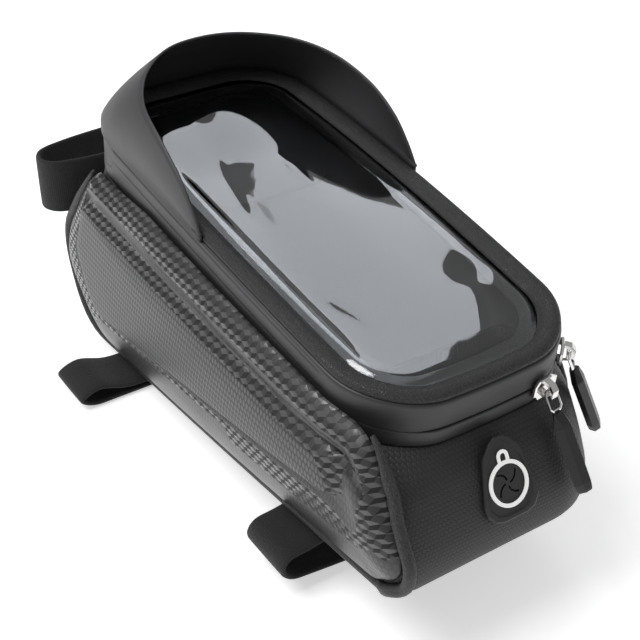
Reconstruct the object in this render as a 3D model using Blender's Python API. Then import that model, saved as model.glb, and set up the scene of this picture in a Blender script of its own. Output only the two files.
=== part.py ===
"""Bike phone bag: a wedge-shaped top-tube bag with a phone window in its lid and a sun visor.

X runs across the bag, +Y to the handlebar, +Z up. The origin is the middle of the grip pad's
underside, where the bag seats on the top tube. Sizes are in millimetres; MM turns them to metres.

Most pieces are written in one of two local frames. The bag frame is level, with its origin at
the middle of the lid's lower rim line. The lid frame has the same origin and is pitched up
towards the handlebar. A plan loop is a rounded rectangle whose points keep their numbering
when it is inset, so that rings and shells are lofted from loop to loop.
"""

import math

import bmesh
import bpy
from mathutils import Matrix, Vector

MM = 0.001

# Lid outline at its lower rim line
lid_width = 88.0
lid_length = 203.0
lid_rear_radius = 26.5
lid_front_radius = 28.0
lid_pitch = 6.84
side_bow = 2.1
rear_bulge = 3.0
lid_crown = 1.7

# Lid build-up, measured down from the rim line
clearance = 0.3
wall_thickness = 2.0
wall_drop = 0.9
slit_depth = 12.3
slit_height = 1.6
hinge_depth = 5.5
hinge_gap = 0.5
hinge_share = 0.03
band_depth = 18.8
rim_width = 7.4
rim_height = 1.8
film_thickness = 0.5
frame_thickness = 0.9
frame_border = 14.0
tray_thickness = 1.0
tray_depth = 11.2
mouth_length = 16.0
mouth_width = 62.0
mouth_edge = 11.0
pad_length = 58.0
pad_width = 50.0
pad_thickness = 1.6
pad_front_gap = 20.0
lid_opening = 95.0

# Sun visor
visor_thickness = 1.0
visor_bow = 1.6
visor_rise = 2.6
visor_inset = -0.6

# Zip
coil_width = 1.5
coil_height = 1.3
tooth_pitch = 6.9
tooth_relief = 0.6
slider_width = 8.4
slider_length = 10.0
slider_plate = 1.4
slider_gap = 0.9
neck_play = 0.5
slider_rear_offset = 4.5
slider_corner_angle = 48.0
rear_tab_lean = 39.5
side_tab_lean = 26.0
bridge_height = 4.2
bridge_bar = 1.3
link_bar = 1.1
link_length = 7.0
link_width = 5.0
tab_length = 28.0
tab_width = 7.6
tab_thickness = 4.4

# Bag body
shell_wall = 2.2
body_height = 69.3
zip_side_radius = 26.0
zip_side_draw = 0.52
draw_start = -60.0
base_pitch = 6.96
groove_depth = 4.0
groove_half_width = 14.0
groove_run = 14.0
board_thickness = 1.5
grip_length = 34.0
grip_inset = 4.0
grip_thickness = 1.5
grip_y = -27.0

# Side panels
panel_wall = 1.8
panel_edge = 1.2
ridge_height = 5.6
step_height = 4.6
field_height = 7.4
field_crown = 0.8
panel_gap = 1.3
panel_wrap = 1.8
piping_radius = 1.9
piping_offset = 3.8

# Cable outlet
port_x = -1.3
port_share = 0.308
port_span = 0.25
port_seat = 0.6
port_height = 31.0
port_width = 25.0
port_corner = 6.0
port_thickness = 1.1
port_hole_radius = 6.0
port_ring_radius = 7.2
port_ring_bar = 1.3
port_ring_height = 0.5
port_ring_drop = 1.2
port_ear_width = 4.6
port_ear_height = 4.8
port_ear_bar = 1.2

# Straps
strap_width = 25.0
strap_thickness = 2.2
strap_gap = 1.0
strap_hang = 20.3
front_strap_back = 23.5
head_strap_reach = 36.5
head_strap_z = -36.5
head_strap_side = 6.0
head_strap_half_depth = 12.0
anchor_half_width = 12.0
anchor_thickness = 1.6

# Facet counts
corner_steps = 6
end_steps = 4
fillet_steps = 5
edge_steps = 4


def material(name, colour, roughness, metallic=0.0, alpha=1.0):
    """A Principled material of one colour."""
    mat = bpy.data.materials.new(name)
    mat.use_nodes = True
    bsdf = mat.node_tree.nodes["Principled BSDF"]
    bsdf.inputs["Base Color"].default_value = (*colour, 1.0)
    bsdf.inputs["Roughness"].default_value = roughness
    bsdf.inputs["Metallic"].default_value = metallic
    bsdf.inputs["Alpha"].default_value = alpha
    return mat


def lerp(a, b, t):
    return a + (b - a) * t


def add_object(name, bm, mat, parent):
    """Turns a bmesh in millimetres into a named object under its parent frame."""
    bmesh.ops.remove_doubles(bm, verts=bm.verts, dist=0.001)
    bmesh.ops.recalc_face_normals(bm, faces=bm.faces)
    bmesh.ops.scale(bm, vec=(MM, MM, MM), verts=bm.verts)
    mesh = bpy.data.meshes.new(name)
    bm.to_mesh(mesh)
    bm.free()
    mesh.shade_smooth()
    mesh.set_sharp_from_angle(angle=math.radians(35))
    mesh.materials.append(mat)
    obj = bpy.data.objects.new(name, mesh)
    bpy.context.scene.collection.objects.link(obj)
    obj.parent = parent
    return obj


def add_frame(name, place, parent=None, pitch=0.0):
    """An empty at a place in millimetres in its parent's frame."""
    empty = bpy.data.objects.new(name, None)
    bpy.context.scene.collection.objects.link(empty)
    empty.location = Vector(place) * MM
    empty.rotation_euler.x = math.radians(pitch)
    empty.parent = parent
    return empty


def loft(bm, loops, closed=False, caps=None):
    """Quads between loops of equal length; closed joins the last loop to the first."""
    rings = [[bm.verts.new(p) for p in loop] for loop in loops]
    count = len(rings[0])
    pairs = list(zip(rings[:-1], rings[1:]))
    if closed:
        pairs.append((rings[-1], rings[0]))
    for low, high in pairs:
        for i in range(count):
            j = (i + 1) % count
            bm.faces.new((low[i], low[j], high[j], high[i]))
    if caps:
        caps(bm, rings[0])
        caps(bm, rings[-1])
    return rings


def fan(bm, ring):
    """Closes a ring with a fan round its middle."""
    middle = bm.verts.new(sum((v.co for v in ring), Vector()) / len(ring))
    for i, vert in enumerate(ring):
        bm.faces.new((vert, ring[(i + 1) % len(ring)], middle))


def strips(bm, ring):
    """Closes a plan loop with strips across it, so that the face keeps a crown or a slope."""
    count = len(ring)
    last_left = count // 2 + len(side_shares) - 1
    rear = (count + last_left) // 2
    front = rear + count // 2
    reach = end_steps // 2 + 1
    for middle in (rear, front):
        bm.faces.new([ring[i % count] for i in range(middle - reach, middle + reach + 1)])
    for i in range(rear + reach, front - reach):
        corners = (i, i + 1, last_left - i - 1, last_left - i)
        bm.faces.new([ring[k % count] for k in corners])


def tube(bm, path, radius, sides=8, closed=False):
    """A round bar along a path of points."""
    points = [Vector(p) for p in path]
    count = len(points)
    rings = []
    normal = None
    for i, point in enumerate(points):
        before = points[(i - 1) % count] if closed or i > 0 else point
        after = points[(i + 1) % count] if closed or i < count - 1 else point
        tangent = (after - before).normalized()
        if normal is None:
            normal = tangent.orthogonal().normalized()
        normal = (normal - tangent * normal.dot(tangent)).normalized()
        side = tangent.cross(normal)
        turns = [2 * math.pi * k / sides for k in range(sides)]
        rings.append([point + (normal * math.cos(a) + side * math.sin(a)) * radius for a in turns])
    if closed:
        rings.append(rings[0])
    loft(bm, rings, caps=None if closed else fan)


def fillet_polygon(corners, steps=fillet_steps, straight=edge_steps):
    """Points round a polygon of (u, v, radius) corners, the same count for every corner."""
    points = []
    count = len(corners)
    arcs = []
    for i, (u, v, radius) in enumerate(corners):
        here = Vector((u, v))
        to_last = (Vector(corners[i - 1][:2]) - here)
        to_next = (Vector(corners[(i + 1) % count][:2]) - here)
        half = to_last.angle(to_next) / 2
        reach = radius / math.tan(half)
        reach = min(reach, 0.48 * to_last.length, 0.48 * to_next.length)
        start = here + to_last.normalized() * reach
        end = here + to_next.normalized() * reach
        arcs.append([bend(start, here, end, k / steps) for k in range(steps + 1)])
    for i, arc in enumerate(arcs):
        following = arcs[(i + 1) % count][0]
        points.extend(arc)
        points.extend(arc[-1].lerp(following, k / straight) for k in range(1, straight))
    return points


def bend(start, corner, end, t):
    """A point on the conic that rounds a corner, close to an arc."""
    weight = math.sin((start - corner).angle(end - corner) / 2)
    a, b, c = (1 - t) ** 2, 2 * weight * t * (1 - t), t ** 2
    return (start * a + corner * b + end * c) / (a + b + c)


def smooth_path(points, steps=4, closed=True):
    """A Catmull-Rom curve through a few points."""
    controls = [Vector(p) for p in points]
    count = len(controls)
    spans = count if closed else count - 1
    path = []
    for i in range(spans):
        if closed:
            p0, p1, p2, p3 = (controls[(i + k) % count] for k in (-1, 0, 1, 2))
        else:
            p0, p1, p2, p3 = (controls[min(max(i + k, 0), count - 1)] for k in (-1, 0, 1, 2))
        for k in range(steps):
            t = k / steps
            path.append(0.5 * (2 * p1 + (p2 - p0) * t + (2 * p0 - 5 * p1 + 4 * p2 - p3) * t ** 2
                               + (3 * p1 - p0 - 3 * p2 + p3) * t ** 3))
    if not closed:
        path.append(controls[-1])
    return path


# Plan loops

side_shares = [0.0, hinge_share - 0.003, hinge_share, 0.17, 0.335, 0.5, 0.665, 0.83,
               1 - hinge_share, 1.003 - hinge_share, 1.0]


def plan_loop(half_width, rear, front, rear_radius, front_radius, bow=0.0, bulge=0.0, right_radius=None):
    """Points (x, y) round a rounded rectangle, from the right rear, anticlockwise from above."""
    points = []
    right_radius = right_radius or rear_radius

    def corner(x, y, radius, start):
        for k in range(1, corner_steps):
            turn = math.radians(start + 90 * k / corner_steps)
            points.append((x + radius * math.cos(turn), y + radius * math.sin(turn)))

    side_rear = rear + rear_radius
    right_rear = rear + right_radius
    side_front = front - front_radius
    points.extend((half_width, lerp(right_rear, side_front, f)) for f in side_shares)
    corner(half_width - front_radius, side_front, front_radius, 0)
    end = half_width - front_radius
    points.extend((lerp(end, -end, k / end_steps), front) for k in range(end_steps + 1))
    corner(-end, side_front, front_radius, 90)
    points.extend((-half_width, lerp(side_front, side_rear, f)) for f in side_shares)
    end = half_width - rear_radius
    corner(-end, side_rear, rear_radius, 180)
    right_end = half_width - right_radius
    points.extend((lerp(-end, right_end, k / end_steps), rear) for k in range(end_steps + 1))
    corner(right_end, right_rear, right_radius, 270)

    middle = (rear + front) / 2
    reach = (front - rear) / 2
    shaped = []
    for x, y in points:
        along = (y - middle) / reach
        out = min(1.0, abs(x) / half_width)
        rearness = min(max((side_rear - y) / rear_radius, 0.0), 1.0)
        shaped.append((x + math.copysign(bow * out * (1 - along ** 2), x),
                       y - bulge * rearness * (1 - out ** 2)))
    return shaped


def on_hinge():
    """For each point of a plan loop, whether it lies along the lid's cloth hinge."""
    first = len(side_shares) + (corner_steps - 1) * 2 + end_steps + 1
    flags = [False] * len(lid_loop(0))
    for k, share in enumerate(side_shares):
        flags[first + k] = hinge_share <= share <= 1 - hinge_share
    return flags


def lid_loop(inset):
    """The lid's outline in the lid frame, inset by a distance."""
    return plan_loop(lid_width / 2 - inset, -lid_length / 2 + inset, lid_length / 2 - inset,
                     lid_rear_radius - inset, lid_front_radius - inset, side_bow, rear_bulge)


def crown(y):
    """The lid is arched along its length, highest in the middle."""
    return lid_crown * (1 - (2 * y / lid_length) ** 2)


def lid_ring(bm, profile):
    """Sweeps (inset, depth) points round the lid outline; a depth may be a list along the loop."""
    loops = []
    for inset, depth in profile:
        plan = lid_loop(inset)
        depths = depth if isinstance(depth, list) else [depth] * len(plan)
        loops.append([(x, y, crown(y) - d) for (x, y), d in zip(plan, depths)])
    loft(bm, loops, closed=True)


def lid_plate(bm, inset, top, bottom):
    """A plate that fills the lid outline."""
    plan = lid_loop(inset)
    loft(bm, [[(x, y, crown(y) - d) for x, y in plan] for d in (bottom, top)], caps=strips)


# Bag body

# share of the height, then how far the rear, front and side stand out from the lid's edges,
# rear radius, front radius, bow, bulge
shell_rows = [
    (0.00, -3, 1.5, -0.4, 26, 27.5, 2.1, 3),
    (0.07, 0.5, 2.1, 0.2, 20, 25, 2, 2.4),
    (0.16, 6, 4.5, 0.8, 12, 20, 1.9, 1.5),
    (0.27, 9.5, 10.5, 1, 8, 16, 1.8, 1),
    (0.38, 12.5, 16.5, 1, 6, 13, 1.7, 0.6),
    (0.50, 15.1, 22.5, 1, 5.5, 12, 1.6, 0.3),
    (0.62, 17.1, 26.1, 1, 5.5, 11, 1.5, 0.1),
    (0.79, 17.9, 22, 0.8, 5.5, 11, 1.4, 0),
    (0.92, 15.3, 11, 0, 6, 12, 1.3, 0),
    (1.00, 9, -2.5, -4.5, 7, 14, 1, 0),
]

top_slope = math.tan(math.radians(lid_pitch))
base_slope = -math.tan(math.radians(base_pitch))
shell_top = -(band_depth + clearance) / math.cos(math.radians(lid_pitch))


def sized(row):
    """A row as its rear y, front y, half width, radii, bow and bulge."""
    _, rear_out, front_out, side_out, *rest = row
    return [-lid_length / 2 - rear_out, lid_length / 2 + front_out, lid_width / 2 + side_out, *rest]


def row_at(share):
    """The shell's section sizes at a share of the height, between the two nearest rows."""
    share = min(max(share, 0.0), 1.0)
    for low, high in zip(shell_rows[:-1], shell_rows[1:]):
        if share <= high[0]:
            t = (share - low[0]) / (high[0] - low[0])
            return [lerp(a, b, t) for a, b in zip(sized(low), sized(high))]
    return sized(shell_rows[-1])


def section_z(share, y):
    """Height of a section's plane, which turns from the lid's pitch to the base's."""
    slope = lerp(top_slope, base_slope, share)
    lift = crown(y) * max(0.0, 1 - 4 * share)
    return shell_top - share * body_height + slope * y + lift


def share_at(y, z):
    """The share of the height at which a point lies."""
    return (shell_top + top_slope * y - z) / (body_height - (base_slope - top_slope) * y)


def base_z(y):
    return shell_top - body_height + base_slope * y


def groove(x):
    """How far the base is raised over the top tube."""
    t = min(max((abs(x) - groove_half_width) / groove_run, 0.0), 1.0)
    return groove_depth * (1 - t * t * (3 - 2 * t))


def side_x(y, z, left):
    """Half width of the body at a height, where the side panel and its piping sit."""
    share = share_at(y, z)
    rear, front, half, rear_radius, front_radius, bow, _ = row_at(share)
    if not left:
        rear_radius = max(rear_radius, zip_side_radius)
    if share < 0:
        rear, front, half, bow = rear - 3.0, front, lid_width / 2 + 0.1, side_bow
    drop = 0.0
    for radius, into in ((rear_radius, rear + rear_radius - y), (front_radius, y - front + front_radius)):
        if into > 0:
            into = min(into, radius)
            drop = max(drop, radius - math.sqrt(radius ** 2 - into ** 2))
    along = (y - (rear + front) / 2) / ((front - rear) / 2)
    return half + bow * (1 - min(along ** 2, 1)) - min(drop, panel_wrap)


def side_point(y, z, height, left):
    """A point at a height above the body's side."""
    step = 0.5
    along = (side_x(y + step, z, left) - side_x(y - step, z, left)) / (2 * step)
    up = (side_x(y, z + step, left) - side_x(y, z - step, left)) / (2 * step)
    normal = Vector((1.0, -min(max(along, -0.8), 0.8), -min(max(up, -0.8), 0.8))).normalized()
    spot = Vector((side_x(y, z, left), y, z)) + normal * height
    return (-spot.x if left else spot.x, spot.y, spot.z)


def floor_steps():
    """Half widths of the base's inner loops, and how far each lies in from the base's ends."""
    half = sized(shell_rows[-1])[2]
    return [(half * 0.72, 9.0), (half * 0.52, 14.0), (groove_half_width, 20.0)]


def shell_loops(inset):
    """Loops of the body's skin from the mouth to the flat of the groove, inset by a wall."""
    loops = []
    for row in shell_rows:
        share = row[0]
        rear, front, half, rear_radius, front_radius, bow, bulge = sized(row)
        plan = plan_loop(half - inset, rear + inset, front - inset, max(rear_radius - inset, 2.0),
                         max(front_radius - inset, 2.0), bow, bulge, max(rear_radius, zip_side_radius) - inset)
        rise = inset * max(0.0, (share - 0.75) / 0.25)
        loops.append([(x, y, section_z(share, y) + rise) for x, y in plan])
    rear, front, half, rear_radius, front_radius, _, _ = sized(shell_rows[-1])
    for width, shrink in floor_steps():
        width -= inset * 0.5
        plan = plan_loop(width, rear + shrink, front - shrink, min(rear_radius, width * 0.8),
                         min(front_radius, width * 0.8), 0.0, 0.0, min(zip_side_radius, width * 0.8))
        loops.append([(x, y, base_z(y) + groove(x) + inset) for x, y in plan])
    return loops


def make_shell(mat, bag):
    """The sewn body: front, base and rear in one skin, open at the top."""
    bm = bmesh.new()
    loops = shell_loops(0.0)[::-1] + shell_loops(shell_wall)
    loft(bm, loops, caps=strips)
    cut_port_hole(add_object("gusset_shell", bm, mat, bag), bag)


def cut_port_hole(shell, bag):
    """The hole behind the cable outlet's membrane."""
    bm = bmesh.new()
    depth = 8.0
    ends = []
    for side in (-1, 1):
        turns = [2 * math.pi * k / 24 for k in range(24)]
        ends.append([port_point(port_hole_radius * math.cos(a), port_hole_radius * math.sin(a), side * depth)
                     for a in turns])
    loft(bm, ends, caps=fan)
    cutter = add_object("port_hole_cutter", bm, shell.data.materials[0], bag)
    cutter.hide_render = True
    cutter.display_type = "WIRE"
    cut = shell.modifiers.new("port_hole", "BOOLEAN")
    cut.operation = "DIFFERENCE"
    cut.solver = "EXACT"
    cut.object = cutter


def wall_spot(share):
    """Where the rear wall's surface lies on the middle line at a share of the height: (y, z)."""
    rear, _, _, _, _, _, bulge = row_at(share)
    return Vector((rear - bulge, section_z(share, rear - bulge)))


def port_point(across, up, out):
    """A point on the leaning rear wall, measured from the outlet's centre."""
    high = wall_spot(port_share - 0.25 * port_span)
    low = wall_spot(port_share + 0.75 * port_span)
    rise = (high - low).normalized()
    centre = wall_spot(port_share)
    spot = centre + rise * up + Vector((-rise.y, rise.x)) * out
    return Vector((port_x + across, spot.x, spot.y))


def make_band(mat, bag_lid):
    """The band round the mouth; along the hinge it reaches up to the lid's short wall."""
    bm = bmesh.new()
    top = [hinge_depth + hinge_gap / 2 if flag else slit_depth + slit_height / 2 for flag in hinge_flags]
    eased = [d + 0.5 for d in top]
    lid_ring(bm, [(0.7, band_depth), (0.0, band_depth - 0.7), (0.0, eased), (0.5, top),
                  (wall_thickness, top), (wall_thickness, band_depth)])
    add_object("top_band", bm, mat, bag_lid)


def make_base_board(mat, bag):
    """The stiffener that lies on the shell's floor, cut to the flat of the groove."""
    bm = bmesh.new()
    rear, front, _, _, _, _, _ = sized(shell_rows[-1])
    lift = shell_wall + clearance
    levels = []
    for height in (lift, lift + board_thickness):
        plan = plan_loop(groove_half_width - 2.5, rear + 26, front - 26, 8.0, 8.0)
        levels.append([(x, y, base_z(y) + groove_depth + height) for x, y in plan])
    loft(bm, levels, caps=strips)
    add_object("base_board", bm, mat, bag)


def make_base_pad(mat, bag):
    """The grip pad that follows the grooved base between the two straps."""
    bm = bmesh.new()
    rear = grip_y - grip_length / 2
    front = grip_y + grip_length / 2
    widths = [lid_width / 2 - grip_inset] + [width for width, _ in floor_steps()]
    loops = []
    for x in [-width for width in widths] + [0.0] + widths[::-1]:
        lift = groove(x) - clearance
        loops.append([(x, rear, base_z(rear) + lift), (x, front, base_z(front) + lift),
                      (x, front, base_z(front) + lift - grip_thickness),
                      (x, rear, base_z(rear) + lift - grip_thickness)])
    rings = [[bm.verts.new(p) for p in loop] for loop in loops]
    for low, high in zip(rings[:-1], rings[1:]):
        for i in range(4):
            j = (i + 1) % 4
            bm.faces.new((low[i], low[j], high[j], high[i]))
    bm.faces.new(rings[0])
    bm.faces.new(rings[-1][::-1])
    add_object("base_pad", bm, mat, bag)


# Side panels. Corners are (share of half the lid's length, share of the body's height, radius), from the
# top rear, then down, forward, up and back.
panel_outline = [(-0.966, -0.263, 16), (-1.187, 0.656, 16), (-1.044, 0.879, 12), (0.985, 0.942, 30),
                 (1.281, 0.579, 22), (0.837, -0.006, 11), (0.394, -0.101, 60)]
panel_ridge = [(-0.956, -0.128, 8), (-1.030, 0.505, 7), (-0.887, 0.410, 9), (0.867, 0.732, 14),
               (1.025, 0.479, 12), (0.808, 0.052, 6), (0.276, -0.005, 40)]
panel_step = [(-0.887, 0.031, 4), (-0.926, 0.225, 3), (-0.877, 0.337, 5), (0.857, 0.716, 12),
              (0.985, 0.436, 10), (0.837, 0.116, 5), (0.197, 0.097, 40)]
panel_field = [(-0.798, 0.122, 4), (-0.877, 0.232, 3), (-0.857, 0.307, 4), (0.847, 0.700, 11),
               (0.956, 0.425, 9), (0.847, 0.167, 5), (0.217, 0.153, 40)]


def on_body(corners):
    """The corners as (y, z, radius) in the bag frame."""
    placed = []
    for along, share, radius in corners:
        y = along * lid_length / 2
        height = body_height - (base_slope - top_slope) * y
        placed.append((y, shell_top + top_slope * y - share * height, radius))
    return placed


def on_zip_side(corners):
    """The relief on the zip's side, below the band and drawn in from the large rear corner."""
    pressed = []
    rear, _, _ = on_body(panel_outline)[0]
    crest, crest_z, _ = on_body(panel_outline)[-1]
    for y, z, radius in corners:
        y = max(y, lerp(y, draw_start, zip_side_draw))
        low = base_z(y) + 4
        top = lerp(crest_z - 12.5, crest_z, min(max((y - rear) / (crest - rear), 0), 1))
        share = min(max((z - low) / (top - low), 0), 1)
        below_band = shell_top + top_slope * y - 2.0
        pressed.append((y, z + share * min(below_band - top, 0.0), radius))
    return pressed


def panel_loop(corners, height, left):
    """A loop of the panel's relief at a height above the body's side."""
    corners = on_body(corners) if left else on_zip_side(on_body(corners))
    return [side_point(y, z, panel_gap + height, left) for y, z in fillet_polygon(corners)]


def shrunk(corners, factor):
    middle_y = sum(c[0] for c in corners) / len(corners)
    middle_z = sum(c[1] for c in corners) / len(corners)
    return [(lerp(middle_y, y, factor), lerp(middle_z, z, factor), r * factor) for y, z, r in corners]


def make_panel(mat, bag, left):
    """A moulded panel: an edge, a rising flank, a ridge, a step and the raised field."""
    bm = bmesh.new()
    centre = shrunk(panel_field, 0.45)
    front = [(panel_outline, panel_edge), (panel_ridge, ridge_height), (panel_step, step_height),
             (panel_field, field_height), (centre, field_height + field_crown)]
    loops = [panel_loop(corners, height, left) for corners, height in front]
    back = [(panel_outline, 0.0), (panel_ridge, ridge_height), (panel_step, step_height),
            (panel_field, field_height), (centre, field_height + field_crown)]
    backs = [panel_loop(shrunk(corners, 0.985), max(height - panel_wall, 0.0), left)
             for corners, height in back[1:]]
    loft(bm, loops[::-1] + [panel_loop(panel_outline, 0.0, left)] + backs, caps=fan)
    add_object("side_panel_left" if left else "side_panel_right", bm, mat, bag)


def offset_polygon(corners, distance):
    """The same polygon with its sides moved outwards."""
    moved = []
    count = len(corners)
    for i, (u, v, radius) in enumerate(corners):
        here = Vector((u, v))
        before = (here - Vector(corners[i - 1][:2])).normalized()
        after = (Vector(corners[(i + 1) % count][:2]) - here).normalized()
        out_before = Vector((-before.y, before.x)) * -1
        out_after = Vector((-after.y, after.x)) * -1
        middle = (out_before + out_after).normalized()
        reach = distance / max(middle.dot(out_before), 0.3)
        spot = here + middle * reach
        moved.append((spot.x, spot.y, radius + distance))
    return moved


def make_piping(mat, bag, left):
    """The covered cord in the seam, from the band at the front, under the panel, to the rear."""
    corners = on_body(panel_outline) if left else on_zip_side(on_body(panel_outline))
    loop = fillet_polygon(offset_polygon(corners, piping_offset))
    per_corner = fillet_steps + edge_steps
    first = fillet_steps // 2 + 1
    last = 5 * per_corner + fillet_steps - 1
    path = []
    for y, z in loop[first:last]:
        low = base_z(y) + piping_radius + clearance
        z = max(z, low)
        below_band = shell_top + top_slope * y - piping_radius - 1.2
        if z > below_band:
            continue
        path.append(side_point(y, z, piping_radius + panel_gap, left))
    bm = bmesh.new()
    tube(bm, path, piping_radius, sides=6)
    add_object("piping_left" if left else "piping_right", bm, mat, bag)


# Cable outlet

def port_outline(grow=0.0):
    """A rounded triangle with its point up, in the outlet's plane."""
    half = port_width / 2 + grow
    corners = [(-half, -port_height * 0.42 - grow, port_corner), (half, -port_height * 0.42 - grow, port_corner),
               (half * 0.62, port_height * 0.3 + grow, port_corner), (0, port_height * 0.58 + grow, port_corner),
               (-half * 0.62, port_height * 0.3 + grow, port_corner)]
    return fillet_polygon(corners, steps=3, straight=1)


def make_port(mat_rubber, mat_ring, bag):
    """The rubber plate with its slit membrane, and the pale ring moulded round it."""
    bm = bmesh.new()
    low = clearance + port_seat
    rim = low + port_thickness
    levels = [(0.0, low), (0.0, rim - 0.4), (-0.5, rim), (-1.6, rim), (-2.0, rim - 0.5)]
    loops = [[port_point(u, v, out) for u, v in port_outline(grow)] for grow, out in levels]
    loft(bm, loops, caps=fan)
    plate = add_object("cable_port", bm, mat_rubber, bag)
    cut_membrane(plate, bag, rim)
    bm = bmesh.new()
    base = rim - 0.5 + clearance
    outer = port_ring_radius + port_ring_bar / 2
    inner = port_ring_radius - port_ring_bar / 2
    turns = [2 * math.pi * k / 40 for k in range(40)]
    profile = [(outer, base), (outer, base + port_ring_height), (inner, base + port_ring_height), (inner, base)]
    loops = [[port_point(r * math.cos(a), r * math.sin(a) - port_ring_drop, out) for a in turns]
             for r, out in profile]
    loft(bm, loops, closed=True)
    join_ear(add_object("port_ring", bm, mat_ring, bag), bag, base)


def join_ear(ring, bag, base):
    """The small arch that stands on top of the ring."""
    half = port_ear_width / 2
    thin = half - port_ear_bar
    foot = math.sqrt(port_ring_radius ** 2 - half ** 2) - port_ring_drop
    middle = foot + port_ear_height - half
    turns = [math.pi * k / 8 for k in range(9)]
    outer = [(half * math.cos(a), middle + half * math.sin(a)) for a in turns]
    inner = [(thin * math.cos(a), middle + thin * math.sin(a)) for a in turns]
    outline = [(half, foot)] + outer + [(-half, foot), (-thin, foot)] + inner[::-1] + [(thin, foot)]
    bm = bmesh.new()
    levels = [[bm.verts.new(port_point(u, v, out)) for u, v in outline]
              for out in (base + 0.05, base + port_ring_height - 0.05)]
    count = len(outline)
    for i in range(count):
        j = (i + 1) % count
        bm.faces.new((levels[0][i], levels[0][j], levels[1][j], levels[1][i]))
    bm.faces.new(levels[0][::-1])
    bm.faces.new(levels[1])
    ear = add_object("port_ear_form", bm, ring.data.materials[0], bag)
    ear.hide_render = True
    ear.display_type = "WIRE"
    join = ring.modifiers.new("ear", "BOOLEAN")
    join.operation = "UNION"
    join.solver = "EXACT"
    join.object = ear


def cut_membrane(plate, bag, rim):
    """Four curved slits that let a plug through the membrane."""
    bm = bmesh.new()
    reach = port_ring_radius - port_ring_bar - 0.6
    half = 0.35
    for arm in range(4):
        start = math.pi / 2 * arm
        left, right = [], []
        for k in range(6):
            t = k / 5
            radius = lerp(0.9, reach, t)
            turn = start + 0.75 * t
            centre = Vector((radius * math.cos(turn), radius * math.sin(turn) - port_ring_drop))
            side = Vector((-math.sin(turn + 0.5), math.cos(turn + 0.5))) * half
            left.append(centre + side)
            right.append(centre - side)
        ring = left + right[::-1]
        levels = [[port_point(p.x, p.y, out) for p in ring] for out in (-1.0, rim + 1.0)]
        rings = [[bm.verts.new(p) for p in level] for level in levels]
        count = len(ring)
        for i in range(count):
            j = (i + 1) % count
            bm.faces.new((rings[0][i], rings[0][j], rings[1][j], rings[1][i]))
        bm.faces.new(rings[0][::-1])
        bm.faces.new(rings[1])
    cutter = add_object("port_slit_cutter", bm, plate.data.materials[0], bag)
    cutter.hide_render = True
    cutter.display_type = "WIRE"
    cut = plate.modifiers.new("slits", "BOOLEAN")
    cut.operation = "DIFFERENCE"
    cut.solver = "EXACT"
    cut.object = cutter


# Straps

def strap_ring(path, half_thickness):
    """Outer and inner edges of a closed strip along a path in a plane."""
    outer, inner = [], []
    count = len(path)
    for i, point in enumerate(path):
        tangent = (path[(i + 1) % count] - path[i - 1]).normalized()
        normal = Vector((tangent.y, -tangent.x))
        outer.append(point + normal * half_thickness)
        inner.append(point - normal * half_thickness)
    return outer, inner


def make_base_strap(name, mat, bag, middle_y, controls):
    """A closed loop under the base. Controls are (x, from, offset): from 0 floor, 1 base."""
    bm = bmesh.new()
    half = strap_thickness / 2
    loops = []
    for y in (middle_y - strap_width / 2, middle_y + strap_width / 2):
        spots = []
        for x, share, offset in controls:
            spots.append((x, lerp(-floor_drop, base_z(y), share) + offset))
        outer, inner = strap_ring(smooth_path(spots), half)
        loops.append([(p.x, y, p.y) for p in outer])
        loops.append([(p.x, y, p.y) for p in inner])
    ordered = [loops[0], loops[1], loops[3], loops[2]]
    loft(bm, ordered, closed=True)
    add_object(name, bm, mat, bag)


half_strap = strap_thickness / 2
floor_drop = strap_hang - base_z(grip_y)
rear_strap_y = grip_y - grip_length / 2 - strap_gap - strap_width / 2
front_strap_y = lid_length / 2 - front_strap_back
head_strap_y = lid_length / 2 + head_strap_reach
head_strap_half_width = lid_width / 2 + head_strap_side
top_run = -(half_strap + clearance)
rear_strap_controls = [(30, 1, top_run), (0, 1, top_run), (-22, 1, top_run - 0.2), (-35, 1, top_run - 2.2),
                       (-47, 0, 18.6), (-55.5, 0, 17.6), (-58.5, 0, 13.0), (-55, 0, 8.4),
                       (-46, 0, 6.6), (-18, 0, 3.4), (6, 0, half_strap + 0.2), (30, 0, half_strap),
                       (37, 0, 4.0), (40, 0.5, 0.0), (37, 1, top_run - 2.6)]
front_strap_controls = [(30, 1, top_run), (0, 1, top_run), (-26, 1, top_run - 0.2), (-39, 1, top_run - 2.0),
                        (-51, 1, top_run - 1.4), (-63, 0, 8.4), (-71.5, 0, 5.2), (-66, 0, 1.5),
                        (-54, 0, half_strap), (-20, 0, half_strap), (6, 0, half_strap), (30, 0, half_strap),
                        (36, 0.3, 0.0), (36, 0.72, 0.0)]


def make_head_strap(mat, bag):
    """The upright loop at the front, which goes round the head tube."""
    bm = bmesh.new()
    controls = []
    for k in range(12):
        turn = 2 * math.pi * k / 12
        across, along = math.cos(turn), math.sin(turn)
        controls.append((head_strap_half_width * across,
                         head_strap_y + head_strap_half_depth * math.copysign(abs(along) ** 0.6, along)))
    outer, inner = strap_ring(smooth_path(controls, steps=3), strap_thickness / 2)
    low = head_strap_z - strap_width / 2
    high = head_strap_z + strap_width / 2
    loops = [[(p.x, p.y, z) for p in edge] for edge, z in
             ((outer, low), (outer, high), (inner, high), (inner, low))]
    loft(bm, loops, closed=True)
    add_object("strap_head", bm, mat, bag)


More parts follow.
